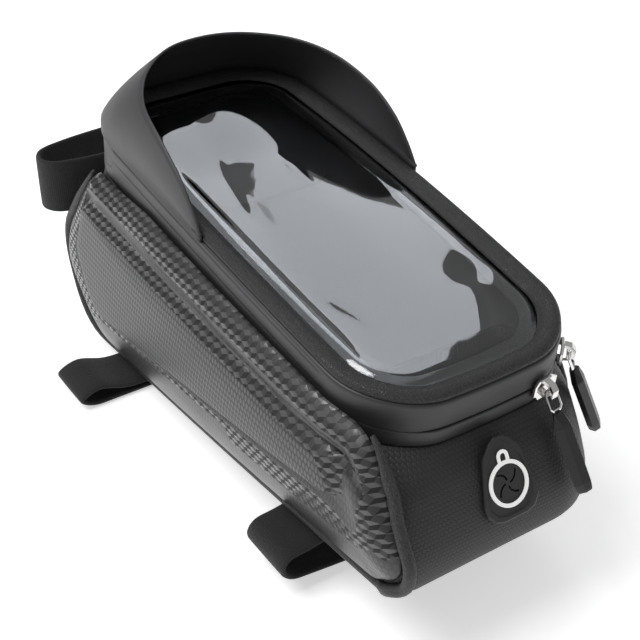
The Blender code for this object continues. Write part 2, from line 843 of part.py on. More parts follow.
def make_head_anchor(mat, bag):
    """The webbing keeper on the front wall, which holds the head strap's rear run."""
    rear_run = head_strap_y - head_strap_half_depth + strap_thickness / 2 + 2 * clearance
    low = head_strap_z - strap_width / 2
    high = head_strap_z + strap_width / 2
    half = anchor_thickness / 2
    seat = half + clearance
    path = [(row_front(high + 9) + seat, high + 9), (row_front(high + 4) + seat + 0.4, high + 4),
            (rear_run + half, high + 1.0), (rear_run + half, low - 1.0),
            (row_front(low - 6) + seat + 0.6, low - 6), (row_front(low - 11) + seat + 0.2, low - 11)]
    bm = bmesh.new()
    front, back = [], []
    for i, (y, z) in enumerate(path):
        before = Vector(path[max(i - 1, 0)])
        after = Vector(path[min(i + 1, len(path) - 1)])
        run = (after - before).normalized()
        normal = Vector((-run.y, run.x)) * half
        front.append((y + normal.x, z + normal.y))
        back.append((y - normal.x, z - normal.y))
    outline = front + back[::-1]
    ends = [[bm.verts.new((x, y, z)) for y, z in outline] for x in (-anchor_half_width, anchor_half_width)]
    count = len(outline)
    for i in range(count):
        j = (i + 1) % count
        bm.faces.new((ends[0][i], ends[0][j], ends[1][j], ends[1][i]))
    bm.faces.new(ends[0][::-1])
    bm.faces.new(ends[1])
    add_object("head_anchor", bm, mat, bag)


def row_front(z):
    """Where the body's front wall lies at a height, on the middle line."""
    y = 110.0
    for _ in range(12):
        y = row_at(share_at(y, z))[1]
    return y


# Lid

def make_lid_wall(mat, pivot_lid):
    bm = bmesh.new()
    bottom = [hinge_depth - hinge_gap / 2 if flag else slit_depth - slit_height / 2 for flag in hinge_flags]
    eased = [d - 0.5 for d in bottom]
    lid_ring(bm, [(wall_thickness, wall_drop), (wall_thickness, bottom), (0.5, bottom), (0.0, eased),
                  (0.0, wall_drop + 0.5), (0.5, wall_drop)])
    add_object("lid_wall", bm, mat, pivot_lid)


def make_lid_rim(mat, pivot_lid):
    """The padded rim, a low rounded bead."""
    bm = bmesh.new()
    outer = 0.9
    low = wall_drop - clearance
    profile = [(outer, low), (outer, -0.2), (outer + 0.7, -rim_height * 0.75),
               (outer + rim_width * 0.35, -rim_height), (outer + rim_width * 0.65, -rim_height * 0.85),
               (outer + rim_width - 0.6, -rim_height * 0.3), (outer + rim_width, 0.2), (outer + rim_width, low)]
    lid_ring(bm, profile)
    add_object("lid_rim", bm, mat, pivot_lid)


film_top = wall_drop + clearance
frame_top = film_top + film_thickness + clearance
inner_inset = wall_thickness + clearance


def make_window(mat_film, mat_frame, pivot_lid):
    """The clear film and the gloss border under it."""
    bm = bmesh.new()
    lid_plate(bm, inner_inset, film_top, film_top + film_thickness)
    add_object("window_film", bm, mat_film, pivot_lid)
    bm = bmesh.new()
    low = frame_top + frame_thickness
    lid_ring(bm, [(inner_inset, low), (inner_inset, frame_top), (frame_border, frame_top), (frame_border, low)])
    add_object("window_frame", bm, mat_frame, pivot_lid)


def make_tray(mat_tray, mat_pad, pivot_lid, lid):
    """The pocket's inner wall, with the mouth that the phone goes in by, and its soft pad."""
    bm = bmesh.new()
    lid_plate(bm, inner_inset + coil_width + clearance, tray_depth, tray_depth + tray_thickness)
    tray = add_object("phone_tray", bm, mat_tray, pivot_lid)
    bm = bmesh.new()
    rear = -lid_length / 2 + mouth_edge
    plan = plan_loop(mouth_width / 2, rear, rear + mouth_length, mouth_length * 0.4, mouth_length * 0.4)
    loft(bm, [[(x, y, -d) for x, y in plan] for d in (tray_depth + 8, tray_depth - 8)], caps=strips)
    cutter = add_object("tray_mouth_cutter", bm, mat_tray, lid)
    cutter.hide_render = True
    cutter.display_type = "WIRE"
    cut = tray.modifiers.new("mouth", "BOOLEAN")
    cut.operation = "DIFFERENCE"
    cut.solver = "EXACT"
    cut.object = cutter
    bm = bmesh.new()
    front = lid_length / 2 - pad_front_gap
    plan = plan_loop(pad_width / 2, front - pad_length, front, 8.0, 8.0)
    low = tray_depth - clearance
    loft(bm, [[(x, y, crown(y) - d) for x, y in plan] for d in (low, low - pad_thickness)], caps=strips)
    add_object("phone_pad", bm, mat_pad, pivot_lid)


# Half of the visor's upper edge from its tip to the middle: shares of the lid's half width and half
# length, and the height
visor_edge = [(1.045, 0.010, 3.2), (1.041, 0.069, 10.6), (1.036, 0.167, 18.6), (1.018, 0.315, 24.2),
              (0.945, 0.502, 26.9), (0.759, 0.656, 28), (0.477, 0.782, 27.4), (0.182, 0.855, 26.3)]


def visor_base(share):
    """A point of the rim line and its outward direction; share runs from the right tip to the left."""
    plan = lid_loop(visor_inset)
    tip = visor_edge[0]
    start = Vector((tip[0] * lid_width / 2, tip[1] * lid_length / 2))
    end_y = lid_length / 2
    front = [Vector(p) for p in plan if p[1] > start.y]
    front = [start] + front + [Vector((-start.x, start.y))]
    lengths = [0.0]
    for a, b in zip(front[:-1], front[1:]):
        lengths.append(lengths[-1] + (b - a).length)
    goal = share * lengths[-1]
    for i in range(len(front) - 1):
        if goal <= lengths[i + 1] + 1e-6:
            t = (goal - lengths[i]) / (lengths[i + 1] - lengths[i])
            spot = front[i].lerp(front[i + 1], t)
            run = (front[i + 1] - front[i]).normalized()
            return Vector((spot.x, min(spot.y, end_y), 0)), Vector((run.y, -run.x, 0))
    return Vector((-start.x, start.y, 0)), Vector((-1, 0, 0))


def make_visor(mat, pivot_lid):
    """The sheet that stands up round the front of the window and leans over it."""
    half = [(x * lid_width / 2, y * lid_length / 2, z) for x, y, z in visor_edge]
    edge = half + [(-x, y, z) for x, y, z in half[::-1]]
    top_path = smooth_path(edge, steps=2, closed=False)
    across = len(top_path)
    rows = 5
    middle = []
    for i, top in enumerate(top_path):
        base, out = visor_base(i / (across - 1))
        base.z = crown(base.y) - wall_drop + clearance
        column = []
        lean_start = base + Vector((0, 0, visor_rise))
        column.append(base)
        for k in range(rows - 1):
            t = k / (rows - 2)
            column.append(lean_start.lerp(top, t) + out * visor_bow * 4 * t * (1 - t) * min(1.0, top.z / 20))
        middle.append(column)
    bm = bmesh.new()
    faces = {}
    for side in (-1, 1):
        grid = []
        for i, column in enumerate(middle):
            row = []
            for k, point in enumerate(column):
                along = middle[min(i + 1, across - 1)][k] - middle[max(i - 1, 0)][k]
                up = column[min(k + 1, rows - 1)] - column[max(k - 1, 0)]
                normal = along.cross(up).normalized()
                row.append(bm.verts.new(point + normal * side * visor_thickness / 2))
            grid.append(row)
        faces[side] = grid
        for i in range(across - 1):
            for k in range(rows - 1):
                bm.faces.new((grid[i][k], grid[i + 1][k], grid[i + 1][k + 1], grid[i][k + 1]))
    inner, outer = faces[-1], faces[1]
    border = [(i, 0) for i in range(across)] + [(across - 1, k) for k in range(1, rows)]
    border += [(i, rows - 1) for i in range(across - 2, -1, -1)] + [(0, k) for k in range(rows - 2, 0, -1)]
    for (i, k), (j, m) in zip(border, border[1:] + border[:1]):
        bm.faces.new((inner[i][k], inner[j][m], outer[j][m], outer[i][k]))
    add_object("visor", bm, mat, pivot_lid)


def zip_path():
    """The zip's run on the outline: from the rear left corner round the rear, right side and front."""
    plan = [Vector(p) for p in lid_loop(0)]
    left_start = len(side_shares) + (corner_steps - 1) * 2 + end_steps + 1
    left_end = left_start + len(side_shares) - 1
    order = list(range(left_end + corner_steps - 1, len(plan))) + list(range(0, left_start - corner_steps + 2))
    return [plan[i] for i in order]


def make_coil(name, mat, parent, low, high, toothed_low):
    """A row of teeth along the zip: a bar whose edge is cut into teeth."""
    path = zip_path()
    lengths = [0.0]
    for a, b in zip(path[:-1], path[1:]):
        lengths.append(lengths[-1] + (b - a).length)
    total = lengths[-1]
    count = int(total / tooth_pitch)
    stops = []
    for n in range(count):
        stops.extend((((n + 0.1) * total / count, 0), ((n + 0.6) * total / count, 1)))
    loops = []
    span = 0
    for goal, notch in stops:
        while lengths[span + 1] < goal:
            span += 1
        a, b = path[span], path[span + 1]
        spot = a.lerp(b, (goal - lengths[span]) / (lengths[span + 1] - lengths[span]))
        run = (b - a).normalized()
        inward = Vector((-run.y, run.x))
        outer = spot + inward * (inner_inset)
        inner = outer + inward * coil_width
        top, bottom = high, low
        if notch and toothed_low:
            bottom = low - tooth_relief
        if notch and not toothed_low:
            top = high + tooth_relief
        z = crown(spot.y)
        loops.append([(outer.x, outer.y, z - bottom), (inner.x, inner.y, z - bottom),
                      (inner.x, inner.y, z - top), (outer.x, outer.y, z - top)])
    bm = bmesh.new()
    rings = [[bm.verts.new(p) for p in loop] for loop in loops]
    for first, second in zip(rings[:-1], rings[1:]):
        for i in range(4):
            j = (i + 1) % 4
            bm.faces.new((first[i], first[j], second[j], second[i]))
    bm.faces.new(rings[0])
    bm.faces.new(rings[-1][::-1])
    add_object(name, bm, mat, parent)


# Sliders. Their frame has x along the zip, y outwards and z up, with its origin on the slit.

def slider_frames(bag_lid):
    """Frames of the rear and the corner slider, turned to face outwards."""
    corner_x = lid_width / 2 - lid_rear_radius
    corner_y = -lid_length / 2 + lid_rear_radius
    slider_rear_x = corner_x + slider_rear_offset
    rear_y = corner_y - math.sqrt(lid_rear_radius ** 2 - (slider_rear_x - corner_x) ** 2)
    bulge = rear_bulge * (1 - (2 * slider_rear_x / lid_width) ** 2)
    rear = add_frame("slider_rear_frame", (slider_rear_x, rear_y - bulge, -slit_depth), bag_lid)
    rear.rotation_euler.z = math.radians(186)
    turn = math.radians(slider_corner_angle)
    radius = lid_rear_radius + 0.6
    spot = (corner_x + radius * math.sin(turn), corner_y - radius * math.cos(turn))
    side = add_frame("slider_side_frame", (spot[0], spot[1], -slit_depth + crown(spot[1])), bag_lid)
    side.rotation_euler.z = math.pi + turn
    return rear, side


def box(bm, low, high):
    """A plain block between two corners."""
    bmesh.ops.create_cube(bm, size=1.0, matrix=Matrix.LocRotScale(
        (Vector(low) + Vector(high)) / 2, None, Vector(high) - Vector(low)))


def make_slider(name, mat, frame):
    """The slider's outer plate, its bridge and the neck in the slit, as one casting."""
    half = slider_width / 2
    outer = slider_gap + slider_plate
    length = slider_length / 2
    plate = [(-length, -half * 0.62), (-length * 0.4, -half), (length * 0.7, -half), (length, -half * 0.5),
             (length, half * 0.5), (length * 0.7, half), (-length * 0.4, half), (-length, half * 0.62)]
    bm = bmesh.new()
    loops = [[(x * grow, y, z * grow) for x, z in plate]
             for y, grow in ((slider_gap, 0.94), (slider_gap + 0.3, 1.0), (outer - 0.3, 1.0), (outer, 0.9))]
    loft(bm, loops, caps=fan)
    body = add_object(name, bm, mat, frame)
    bm = bmesh.new()
    arch = [(-3.4, outer - 0.5), (-3.0, outer + bridge_height * 0.62), (-1.4, outer + bridge_height),
            (1.4, outer + bridge_height), (3.0, outer + bridge_height * 0.62), (3.4, outer - 0.5)]
    inside = [(2.2, outer - 0.5), (1.9, outer + bridge_height * 0.5), (0.9, outer + bridge_height - bridge_bar),
              (-0.9, outer + bridge_height - bridge_bar), (-1.9, outer + bridge_height * 0.5), (-2.2, outer - 0.5)]
    ring = arch + inside
    sides = [[bm.verts.new((z, y, x)) for x, y in ring] for z in (-bridge_bar, bridge_bar)]
    count = len(ring)
    for i in range(count):
        j = (i + 1) % count
        bm.faces.new((sides[0][i], sides[0][j], sides[1][j], sides[1][i]))
    bm.faces.new(sides[0][::-1])
    bm.faces.new(sides[1])
    bridge = add_object(name + "_bridge_form", bm, mat, frame)
    bm = bmesh.new()
    neck = slit_height / 2 - neck_play
    box(bm, (-2.4, -wall_thickness, -neck), (2.4, slider_gap + 0.4, neck))
    neck_form = add_object(name + "_neck_form", bm, mat, frame)
    for form in (bridge, neck_form):
        form.hide_render = True
        form.display_type = "WIRE"
        join = body.modifiers.new(form.name, "BOOLEAN")
        join.operation = "UNION"
        join.solver = "EXACT"
        join.object = form


def make_link_and_tab(ending, mat_wire, mat_tab, frame, lean):
    """The wire link through the bridge and the moulded tab that hangs from it."""
    outer = slider_gap + slider_plate
    pivot_y = outer + (bridge_height - bridge_bar) * 0.55
    pivot = add_frame("tab_" + ending + "_pivot", (0, pivot_y, 0), frame)
    pivot.rotation_euler.x = math.radians(lean)
    bm = bmesh.new()
    half = link_width / 2
    low = -link_length
    path = [(-half, 0, -1.6), (-half * 0.8, 0, -0.2), (0, 0, 0.35), (half * 0.8, 0, -0.2), (half, 0, -1.6),
            (half, 0, low + 1), (half * 0.6, 0, low), (-half * 0.6, 0, low), (-half, 0, low + 1)]
    tube(bm, path, link_bar / 2, sides=6, closed=True)
    add_object("link_" + ending, bm, mat_wire, pivot)
    bm = bmesh.new()
    top = low - link_bar / 2 - clearance
    levels = [(top, 0.45), (top - 4.5, 0.98), (top - 5.2, 1.0), (top - tab_length + 3.0, 1.0),
              (top - tab_length + 0.8, 0.86), (top - tab_length, 0.7)]
    loops = []
    for z, grow in levels:
        w = tab_width / 2 * grow
        d = tab_thickness / 2 * (0.55 + 0.45 * grow)
        loops.append([(w, 0, z), (w * 0.5, d, z), (-w * 0.5, d, z), (-w, 0, z), (-w * 0.5, -d, z), (w * 0.5, -d, z)])
    loft(bm, loops, caps=fan)
    add_object("tab_" + ending, bm, mat_tab, pivot)


def make_zip_stops(mat, bag_lid):
    """The clamps that end the zip at the rear left and the front left."""
    path = zip_path()
    for name, end, other in (("zip_stop_rear", path[0], path[1]), ("zip_stop_front", path[-1], path[-2])):
        run = (other - end).normalized()
        out = Vector((run.y, -run.x))
        if out.dot(end) < 0:
            out = -out
        centre = end - out * (inner_inset + coil_width / 2) - run * 1.6
        bm = bmesh.new()
        z = crown(centre.y) - slit_depth
        turn = math.atan2(run.y, run.x)
        place = Matrix.Translation((centre.x, centre.y, z)) @ Matrix.Rotation(turn, 4, "Z")
        bmesh.ops.create_cube(bm, size=1.0, matrix=place @ Matrix.Diagonal((2.2, coil_width, 1.0, 1.0)))
        bmesh.ops.bevel(bm, geom=bm.edges[:], offset=0.2, segments=1, affect="EDGES")
        add_object(name, bm, mat, bag_lid)


def clear_scene():
    for obj in list(bpy.data.objects):
        bpy.data.objects.remove(obj, do_unlink=True)


def build():
    """Makes every piece of the bag."""
    coated = material("coated_cloth", (0.035, 0.035, 0.037), 0.6)
    smooth = material("smooth_band", (0.055, 0.055, 0.057), 0.45)
    moulded = material("moulded_panel", (0.04, 0.04, 0.042), 0.3)
    webbing = material("webbing", (0.015, 0.015, 0.016), 0.85)
    gloss = material("gloss_border", (0.01, 0.01, 0.01), 0.08)
    clear = material("clear_film", (0.8, 0.85, 0.9), 0.03, alpha=0.3)
    rubber = material("rubber", (0.02, 0.02, 0.02), 0.6)
    pale = material("pale_ring", (0.9, 0.9, 0.9), 0.4)
    chrome = material("chrome", (0.8, 0.8, 0.8), 0.12, metallic=1.0)
    plastic = material("tab_plastic", (0.02, 0.02, 0.022), 0.35)
    foam = material("foam", (0.05, 0.05, 0.05), 0.9)

    pad_face = base_z(grip_y) + groove_depth - clearance - grip_thickness
    bag = add_frame("bag_frame", (0, -grip_y, -pad_face))
    band_frame = add_frame("band_frame", (0, 0, 0), bag, lid_pitch)
    hinge_x = -(lid_width / 2 + side_bow + 0.6)
    hinge_z = crown(0) * 0.7 - hinge_depth
    lid_hinge = add_frame("lid_hinge", (hinge_x, 0, hinge_z), band_frame)
    lid = add_frame("lid_frame", (-hinge_x, 0, -hinge_z), lid_hinge)

    make_shell(coated, bag)
    make_base_board(foam, bag)
    make_base_pad(rubber, bag)
    for left in (True, False):
        make_panel(moulded, bag, left)
        make_piping(coated, bag, left)
    make_port(rubber, pale, bag)
    make_base_strap("strap_rear", webbing, bag, rear_strap_y, rear_strap_controls)
    make_base_strap("strap_front", webbing, bag, front_strap_y, front_strap_controls)
    make_head_strap(webbing, bag)
    make_head_anchor(webbing, bag)
    make_band(smooth, band_frame)
    lower_top = slit_depth + clearance / 2 + tooth_relief
    make_coil("zip_coil_lower", plastic, band_frame, lower_top + coil_height, lower_top, False)
    make_zip_stops(chrome, band_frame)
    rear, side = slider_frames(band_frame)
    for ending, frame, lean in (("rear", rear, rear_tab_lean), ("side", side, side_tab_lean)):
        make_slider("slider_" + ending, chrome, frame)
        make_link_and_tab(ending, chrome, plastic, frame, lean)

    make_lid_wall(smooth, lid)
    make_lid_rim(coated, lid)
    make_window(clear, gloss, lid)
    make_tray(smooth, foam, lid, lid)
    make_visor(smooth, lid)
    upper_bottom = slit_depth - clearance / 2 - tooth_relief
    make_coil("zip_coil_upper", plastic, lid, upper_bottom, upper_bottom - coil_height, True)


clear_scene()
hinge_flags = on_hinge()
build()
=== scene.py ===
"""Looks of the bike phone bag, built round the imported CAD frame.

Soft pieces are lofted in millimetres in the bag frame (level) or the lid frame (pitched) and
carry texture coordinates in millimetres, so that weaves and embossing keep their real scale.
"""

import math

import bmesh
import bpy
from mathutils import Matrix, Vector, noise


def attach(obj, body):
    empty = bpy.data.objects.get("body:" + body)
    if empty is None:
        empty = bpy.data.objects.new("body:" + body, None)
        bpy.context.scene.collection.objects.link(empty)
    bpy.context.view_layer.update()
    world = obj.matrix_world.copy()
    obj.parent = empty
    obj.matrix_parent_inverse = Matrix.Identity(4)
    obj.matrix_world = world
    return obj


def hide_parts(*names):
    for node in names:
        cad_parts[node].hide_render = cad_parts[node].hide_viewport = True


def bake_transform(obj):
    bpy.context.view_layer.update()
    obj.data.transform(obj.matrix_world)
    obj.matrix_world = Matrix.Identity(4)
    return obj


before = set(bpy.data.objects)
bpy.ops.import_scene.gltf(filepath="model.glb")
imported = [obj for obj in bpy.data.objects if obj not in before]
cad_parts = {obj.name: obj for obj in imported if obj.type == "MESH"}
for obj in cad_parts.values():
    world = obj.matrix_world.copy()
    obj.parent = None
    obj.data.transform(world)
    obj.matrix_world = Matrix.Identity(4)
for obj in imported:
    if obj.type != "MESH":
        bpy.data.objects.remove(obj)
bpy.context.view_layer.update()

MM = 0.001
lid_pitch = math.radians(6.84)
bag_origin = Vector((0.0, 27.0, 83.041))
to_bag = Matrix.Translation(bag_origin)
to_lid = to_bag @ Matrix.Rotation(lid_pitch, 4, "X")
floor_z = -22.7

# Camera and light


def add_camera():
    """The photograph's camera: a 73 mm lens behind the bag on its left, looking down 34 degrees."""
    right = Vector((0.8328, -0.5536, 0.0))
    up = Vector((0.3131, 0.471, 0.8247))
    back = Vector((-0.4565, -0.6868, 0.5655))
    place = (Vector((-225.5, -343.2, 232.9)) + bag_origin) * MM
    data = bpy.data.cameras.new("camera")
    data.lens = 73.16
    data.sensor_width = 36.0
    data.clip_start = 0.01
    camera = bpy.data.objects.new("camera", data)
    bpy.context.scene.collection.objects.link(camera)
    camera.matrix_world = Matrix((
        (right.x, up.x, back.x, place.x), (right.y, up.y, back.y, place.y),
        (right.z, up.z, back.z, place.z), (0, 0, 0, 1)))
    bpy.context.scene.camera = camera


def add_area(name, place, target, size, power, colour=(1, 1, 1)):
    """A soft rectangular light in millimetres, aimed at a point."""
    data = bpy.data.lights.new(name, "AREA")
    data.shape = "RECTANGLE"
    data.size = size[0] * MM
    data.size_y = size[1] * MM
    data.energy = power
    data.color = colour
    light = bpy.data.objects.new(name, data)
    bpy.context.scene.collection.objects.link(light)
    light.location = Vector(place) * MM
    light.rotation_euler = (Vector(target) - Vector(place)).to_track_quat("-Z", "Y").to_euler()
    return light


# Materials


def shader(name, colour, roughness, **sockets):
    """A Principled material; returns the material, its tree and its shader."""
    mat = bpy.data.materials.new(name)
    mat.use_nodes = True
    bsdf = mat.node_tree.nodes["Principled BSDF"]
    bsdf.inputs["Base Color"].default_value = (*colour, 1.0)
    bsdf.inputs["Roughness"].default_value = roughness
    for socket, value in sockets.items():
        bsdf.inputs[socket.replace("_", " ")].default_value = value
    return mat, mat.node_tree, bsdf


def put(tree, kind, *inputs, **settings):
    """Adds a node; each input is a socket to link, a value, or None."""
    made = tree.nodes.new(kind)
    for key, value in settings.items():
        setattr(made, key, value)
    for i, value in enumerate(inputs):
        if value is None:
            continue
        if isinstance(value, bpy.types.NodeSocket):
            tree.links.new(value, made.inputs[i])
        else:
            made.inputs[i].default_value = value
    return made


def calc(tree, operation, a, b=None, c=None):
    return put(tree, "ShaderNodeMath", a, b, c, operation=operation).outputs[0]


def vec(tree, operation, a, b=None):
    made = put(tree, "ShaderNodeVectorMath", a, b, operation=operation)
    return made.outputs["Value"] if operation == "DOT_PRODUCT" else made.outputs["Vector"]


def ramp(tree, value, low, high, out_low=0.0, out_high=1.0, smooth=True):
    made = put(tree, "ShaderNodeMapRange", value, low, high, out_low, out_high)
    made.interpolation_type = "SMOOTHSTEP" if smooth else "LINEAR"
    return made.outputs[0]


def flat_coords(tree, pitch):
    """Texture coordinates in cells of a pitch in millimetres, kept positive."""
    uv = put(tree, "ShaderNodeUVMap", uv_map="mm").outputs[0]
    scaled = vec(tree, "MULTIPLY", uv, (1 / pitch[0], 1 / pitch[1], 0))
    return vec(tree, "ADD", scaled, (1000.0, 1000.0 * 1.7320508, 0))


def object_noise(tree, scale, detail=2.0, rough=0.5):
    coords = put(tree, "ShaderNodeTexCoord").outputs["Object"]
    made = put(tree, "ShaderNodeTexNoise", coords)
    made.inputs["Scale"].default_value = scale
    made.inputs["Detail"].default_value = detail
    made.inputs["Roughness"].default_value = rough
    return made.outputs[0]


def add_bump(tree, bsdf, height, distance, before=None):
    made = tree.nodes.new("ShaderNodeBump")
    made.inputs["Distance"].default_value = distance * MM
    tree.links.new(height, made.inputs["Height"])
    if before is not None:
        tree.links.new(before, made.inputs["Normal"])
    tree.links.new(made.outputs[0], bsdf.inputs["Normal"])
    return made.outputs[0]


def vary(tree, bsdf, value, dark, light, socket="Base Color"):
    """Mixes a socket between two values or colours by a factor."""
    if socket == "Base Color":
        made = put(tree, "ShaderNodeMix", data_type="RGBA")
        tree.links.new(value, made.inputs[0])
        made.inputs[6].default_value = (*dark, 1)
        made.inputs[7].default_value = (*light, 1)
        tree.links.new(made.outputs[2], bsdf.inputs[socket])
    else:
        tree.links.new(ramp(tree, value, 0, 1, dark, light, False), bsdf.inputs[socket])


def hex_cells(tree, pitch):
    """The place inside the nearest cell of a honeycomb."""
    cell = (1.0, 1.7320508, 0)
    half = (0.5, 0.8660254, 0)
    p = flat_coords(tree, pitch)
    a = vec(tree, "SUBTRACT", vec(tree, "MODULO", p, cell), half)
    b = vec(tree, "SUBTRACT", vec(tree, "MODULO", vec(tree, "ADD", p, half), cell), half)
    a = vec(tree, "MULTIPLY", a, (1.0, 1.0, 0.0))
    b = vec(tree, "MULTIPLY", b, (1.0, 1.0, 0.0))
    nearer = calc(tree, "LESS_THAN", vec(tree, "DOT_PRODUCT", a, a), vec(tree, "DOT_PRODUCT", b, b))
    mix = put(tree, "ShaderNodeMix", data_type="VECTOR")
    tree.links.new(nearer, mix.inputs[0])
    tree.links.new(b, mix.inputs[4])
    tree.links.new(a, mix.inputs[5])
    return mix.outputs[1]


def hex_height(tree, pitch, soft=0.2):
    """Raised cells of a honeycomb."""
    g = vec(tree, "ABSOLUTE", hex_cells(tree, pitch))
    across = put(tree, "ShaderNodeSeparateXYZ", g).outputs[0]
    slanted = vec(tree, "DOT_PRODUCT", g, (0.5, 0.8660254, 0))
    edge = calc(tree, "SUBTRACT", 0.5, calc(tree, "MAXIMUM", across, slanted))
    return ramp(tree, edge, 0.02, soft)


def block_pattern(tree, pitch):
    """Honeycomb cells cut into three facets each, and their height; the facets are painted lit, half lit
    and in shade by the way they face.
    """
    spot = put(tree, "ShaderNodeSeparateXYZ", hex_cells(tree, pitch))
    x, y = spot.outputs[0], spot.outputs[1]
    upper = calc(tree, "GREATER_THAN", y, calc(tree, "MULTIPLY", calc(tree, "ABSOLUTE", x), 0.577))
    right = calc(tree, "GREATER_THAN", x, 0.0)
    side = calc(tree, "MULTIPLY", calc(tree, "MULTIPLY", right, calc(tree, "SUBTRACT", 1.0, upper)), 0.35)
    # Painted light and shade: the upper facet is painted lit, the right one a third as lit, the left one in
    # shade.
    painted_facet_light = calc(tree, "ADD", upper, side)
    tilt = calc(tree, "SUBTRACT", calc(tree, "MULTIPLY", upper, 1.6), 0.8)
    slope = calc(tree, "ADD", calc(tree, "MULTIPLY", y, tilt),
                 calc(tree, "MULTIPLY", calc(tree, "ABSOLUTE", x), -0.5))
    return painted_facet_light, slope


def make_materials():
    """Every finish of the bag."""
    made = {}

    mat, tree, bsdf = shader("honeycomb_cloth", (0.02, 0.02, 0.021), 0.5)
    cells = hex_height(tree, (1.55, 1.55))
    # Painted shade: the grooves between the raised cells are painted darker than the cell tops.
    vary(tree, bsdf, cells, (0.014, 0.014, 0.015), (0.022, 0.022, 0.023))
    vary(tree, bsdf, cells, 0.58, 0.48, "Roughness")
    grain = add_bump(tree, bsdf, object_noise(tree, 2600), 0.04)
    add_bump(tree, bsdf, cells, 0.09, grain)
    made["cloth"] = mat

    mat, tree, bsdf = shader("smooth_band", (0.03, 0.03, 0.032), 0.42)
    vary(tree, bsdf, object_noise(tree, 60, 4), (0.024, 0.024, 0.026), (0.034, 0.034, 0.036))
    vary(tree, bsdf, object_noise(tree, 25, 3), 0.36, 0.5, "Roughness")
    grain = add_bump(tree, bsdf, object_noise(tree, 1800, 3), 0.03)
    add_bump(tree, bsdf, object_noise(tree, 90, 2), 0.25, grain)
    made["band"] = mat

    mat, tree, bsdf = shader("visor_sheet", (0.035, 0.035, 0.037), 0.5)
    vary(tree, bsdf, object_noise(tree, 40, 4), (0.03, 0.03, 0.032), (0.042, 0.042, 0.045))
    vary(tree, bsdf, object_noise(tree, 18, 3), 0.42, 0.55, "Roughness")
    grain = add_bump(tree, bsdf, object_noise(tree, 1500, 3), 0.03)
    add_bump(tree, bsdf, object_noise(tree, 45, 2), 0.3, grain)
    made["visor"] = mat

    mat, tree, bsdf = shader("rim_leather", (0.02, 0.02, 0.02), 0.46)
    coords = put(tree, "ShaderNodeTexCoord").outputs["Object"]
    pores = put(tree, "ShaderNodeTexVoronoi", coords, feature="DISTANCE_TO_EDGE")
    pores.inputs["Scale"].default_value = 1300
    skin = ramp(tree, pores.outputs["Distance"], 0.02, 0.25)
    vary(tree, bsdf, skin, (0.012, 0.012, 0.012), (0.026, 0.026, 0.027))
    vary(tree, bsdf, skin, 0.6, 0.4, "Roughness")
    broad = add_bump(tree, bsdf, object_noise(tree, 160, 3), 0.2)
    add_bump(tree, bsdf, skin, 0.12, broad)
    made["leather"] = mat

    mat, tree, bsdf = shader("panel_scales", (0.03, 0.03, 0.031), 0.36)
    cells = hex_height(tree, (1.9, 3.1), 0.3)
    # Painted shade: the grooves between the raised cells are painted darker than the cell tops.
    vary(tree, bsdf, cells, (0.022, 0.022, 0.023), (0.06, 0.06, 0.062))
    vary(tree, bsdf, cells, 0.5, 0.36, "Roughness")
    grain = add_bump(tree, bsdf, object_noise(tree, 900, 2), 0.03)
    add_bump(tree, bsdf, cells, 0.13, grain)
    made["scales"] = mat

    mat, tree, bsdf = shader("panel_blocks", (0.02, 0.02, 0.021), 0.28)
    painted_facet_light, slope = block_pattern(tree, (4.4, 3.0))
    # Painted shade and highlight: the near-black and light facets stand in for the strips' dark and bright
    # reflections.
    vary(tree, bsdf, painted_facet_light, (0.003, 0.003, 0.003), (0.085, 0.085, 0.088))
    vary(tree, bsdf, painted_facet_light, 0.55, 0.22, "Roughness")
    grain = add_bump(tree, bsdf, object_noise(tree, 900, 2), 0.03)
    add_bump(tree, bsdf, slope, 0.5, grain)
    made["blocks"] = mat

    mat, tree, bsdf = shader("panel_smooth", (0.022, 0.022, 0.023), 0.3)
    cells = hex_height(tree, (1.9, 3.1), 0.3)
    # Painted shade: the grooves between the raised cells are painted darker than the cell tops.
    vary(tree, bsdf, cells, (0.02, 0.02, 0.021), (0.034, 0.034, 0.035))
    vary(tree, bsdf, object_noise(tree, 60, 3), 0.26, 0.38, "Roughness")
    add_bump(tree, bsdf, cells, 0.05)
    made["panel"] = mat

    mat, tree, bsdf = shader("webbing", (0.012, 0.012, 0.012), 0.9, Sheen_Weight=0.12, Sheen_Roughness=0.5)
    p = flat_coords(tree, (0.55, 0.8))
    parts = put(tree, "ShaderNodeSeparateXYZ", p)
    every_other = calc(tree, "MULTIPLY", calc(tree, "FLOOR", parts.outputs[1]), 0.5)
    shifted = calc(tree, "ADD", parts.outputs[0], every_other)
    rib = calc(tree, "MULTIPLY", calc(tree, "PINGPONG", shifted, 0.5),
               calc(tree, "PINGPONG", parts.outputs[1], 0.5))
    rib = ramp(tree, rib, 0.0, 0.2)
    pile = object_noise(tree, 1500, 4, 0.7)
    vary(tree, bsdf, pile, (0.005, 0.005, 0.005), (0.017, 0.017, 0.018))
    fuzz = add_bump(tree, bsdf, pile, 0.3)
    add_bump(tree, bsdf, rib, 0.1, fuzz)
    made["webbing"] = mat

    mat, tree, bsdf = shader("gloss_border", (0.008, 0.008, 0.008), 0.08)
    vary(tree, bsdf, object_noise(tree, 30, 3), 0.05, 0.14, "Roughness")
    add_bump(tree, bsdf, object_noise(tree, 70, 2), 0.12)
    made["gloss"] = mat

    mat, tree, bsdf = shader("clear_film", (0.93, 0.95, 0.97), 0.02, Transmission_Weight=1.0, IOR=1.65)
    add_bump(tree, bsdf, object_noise(tree, 40, 2), 0.1)
    made["film"] = mat

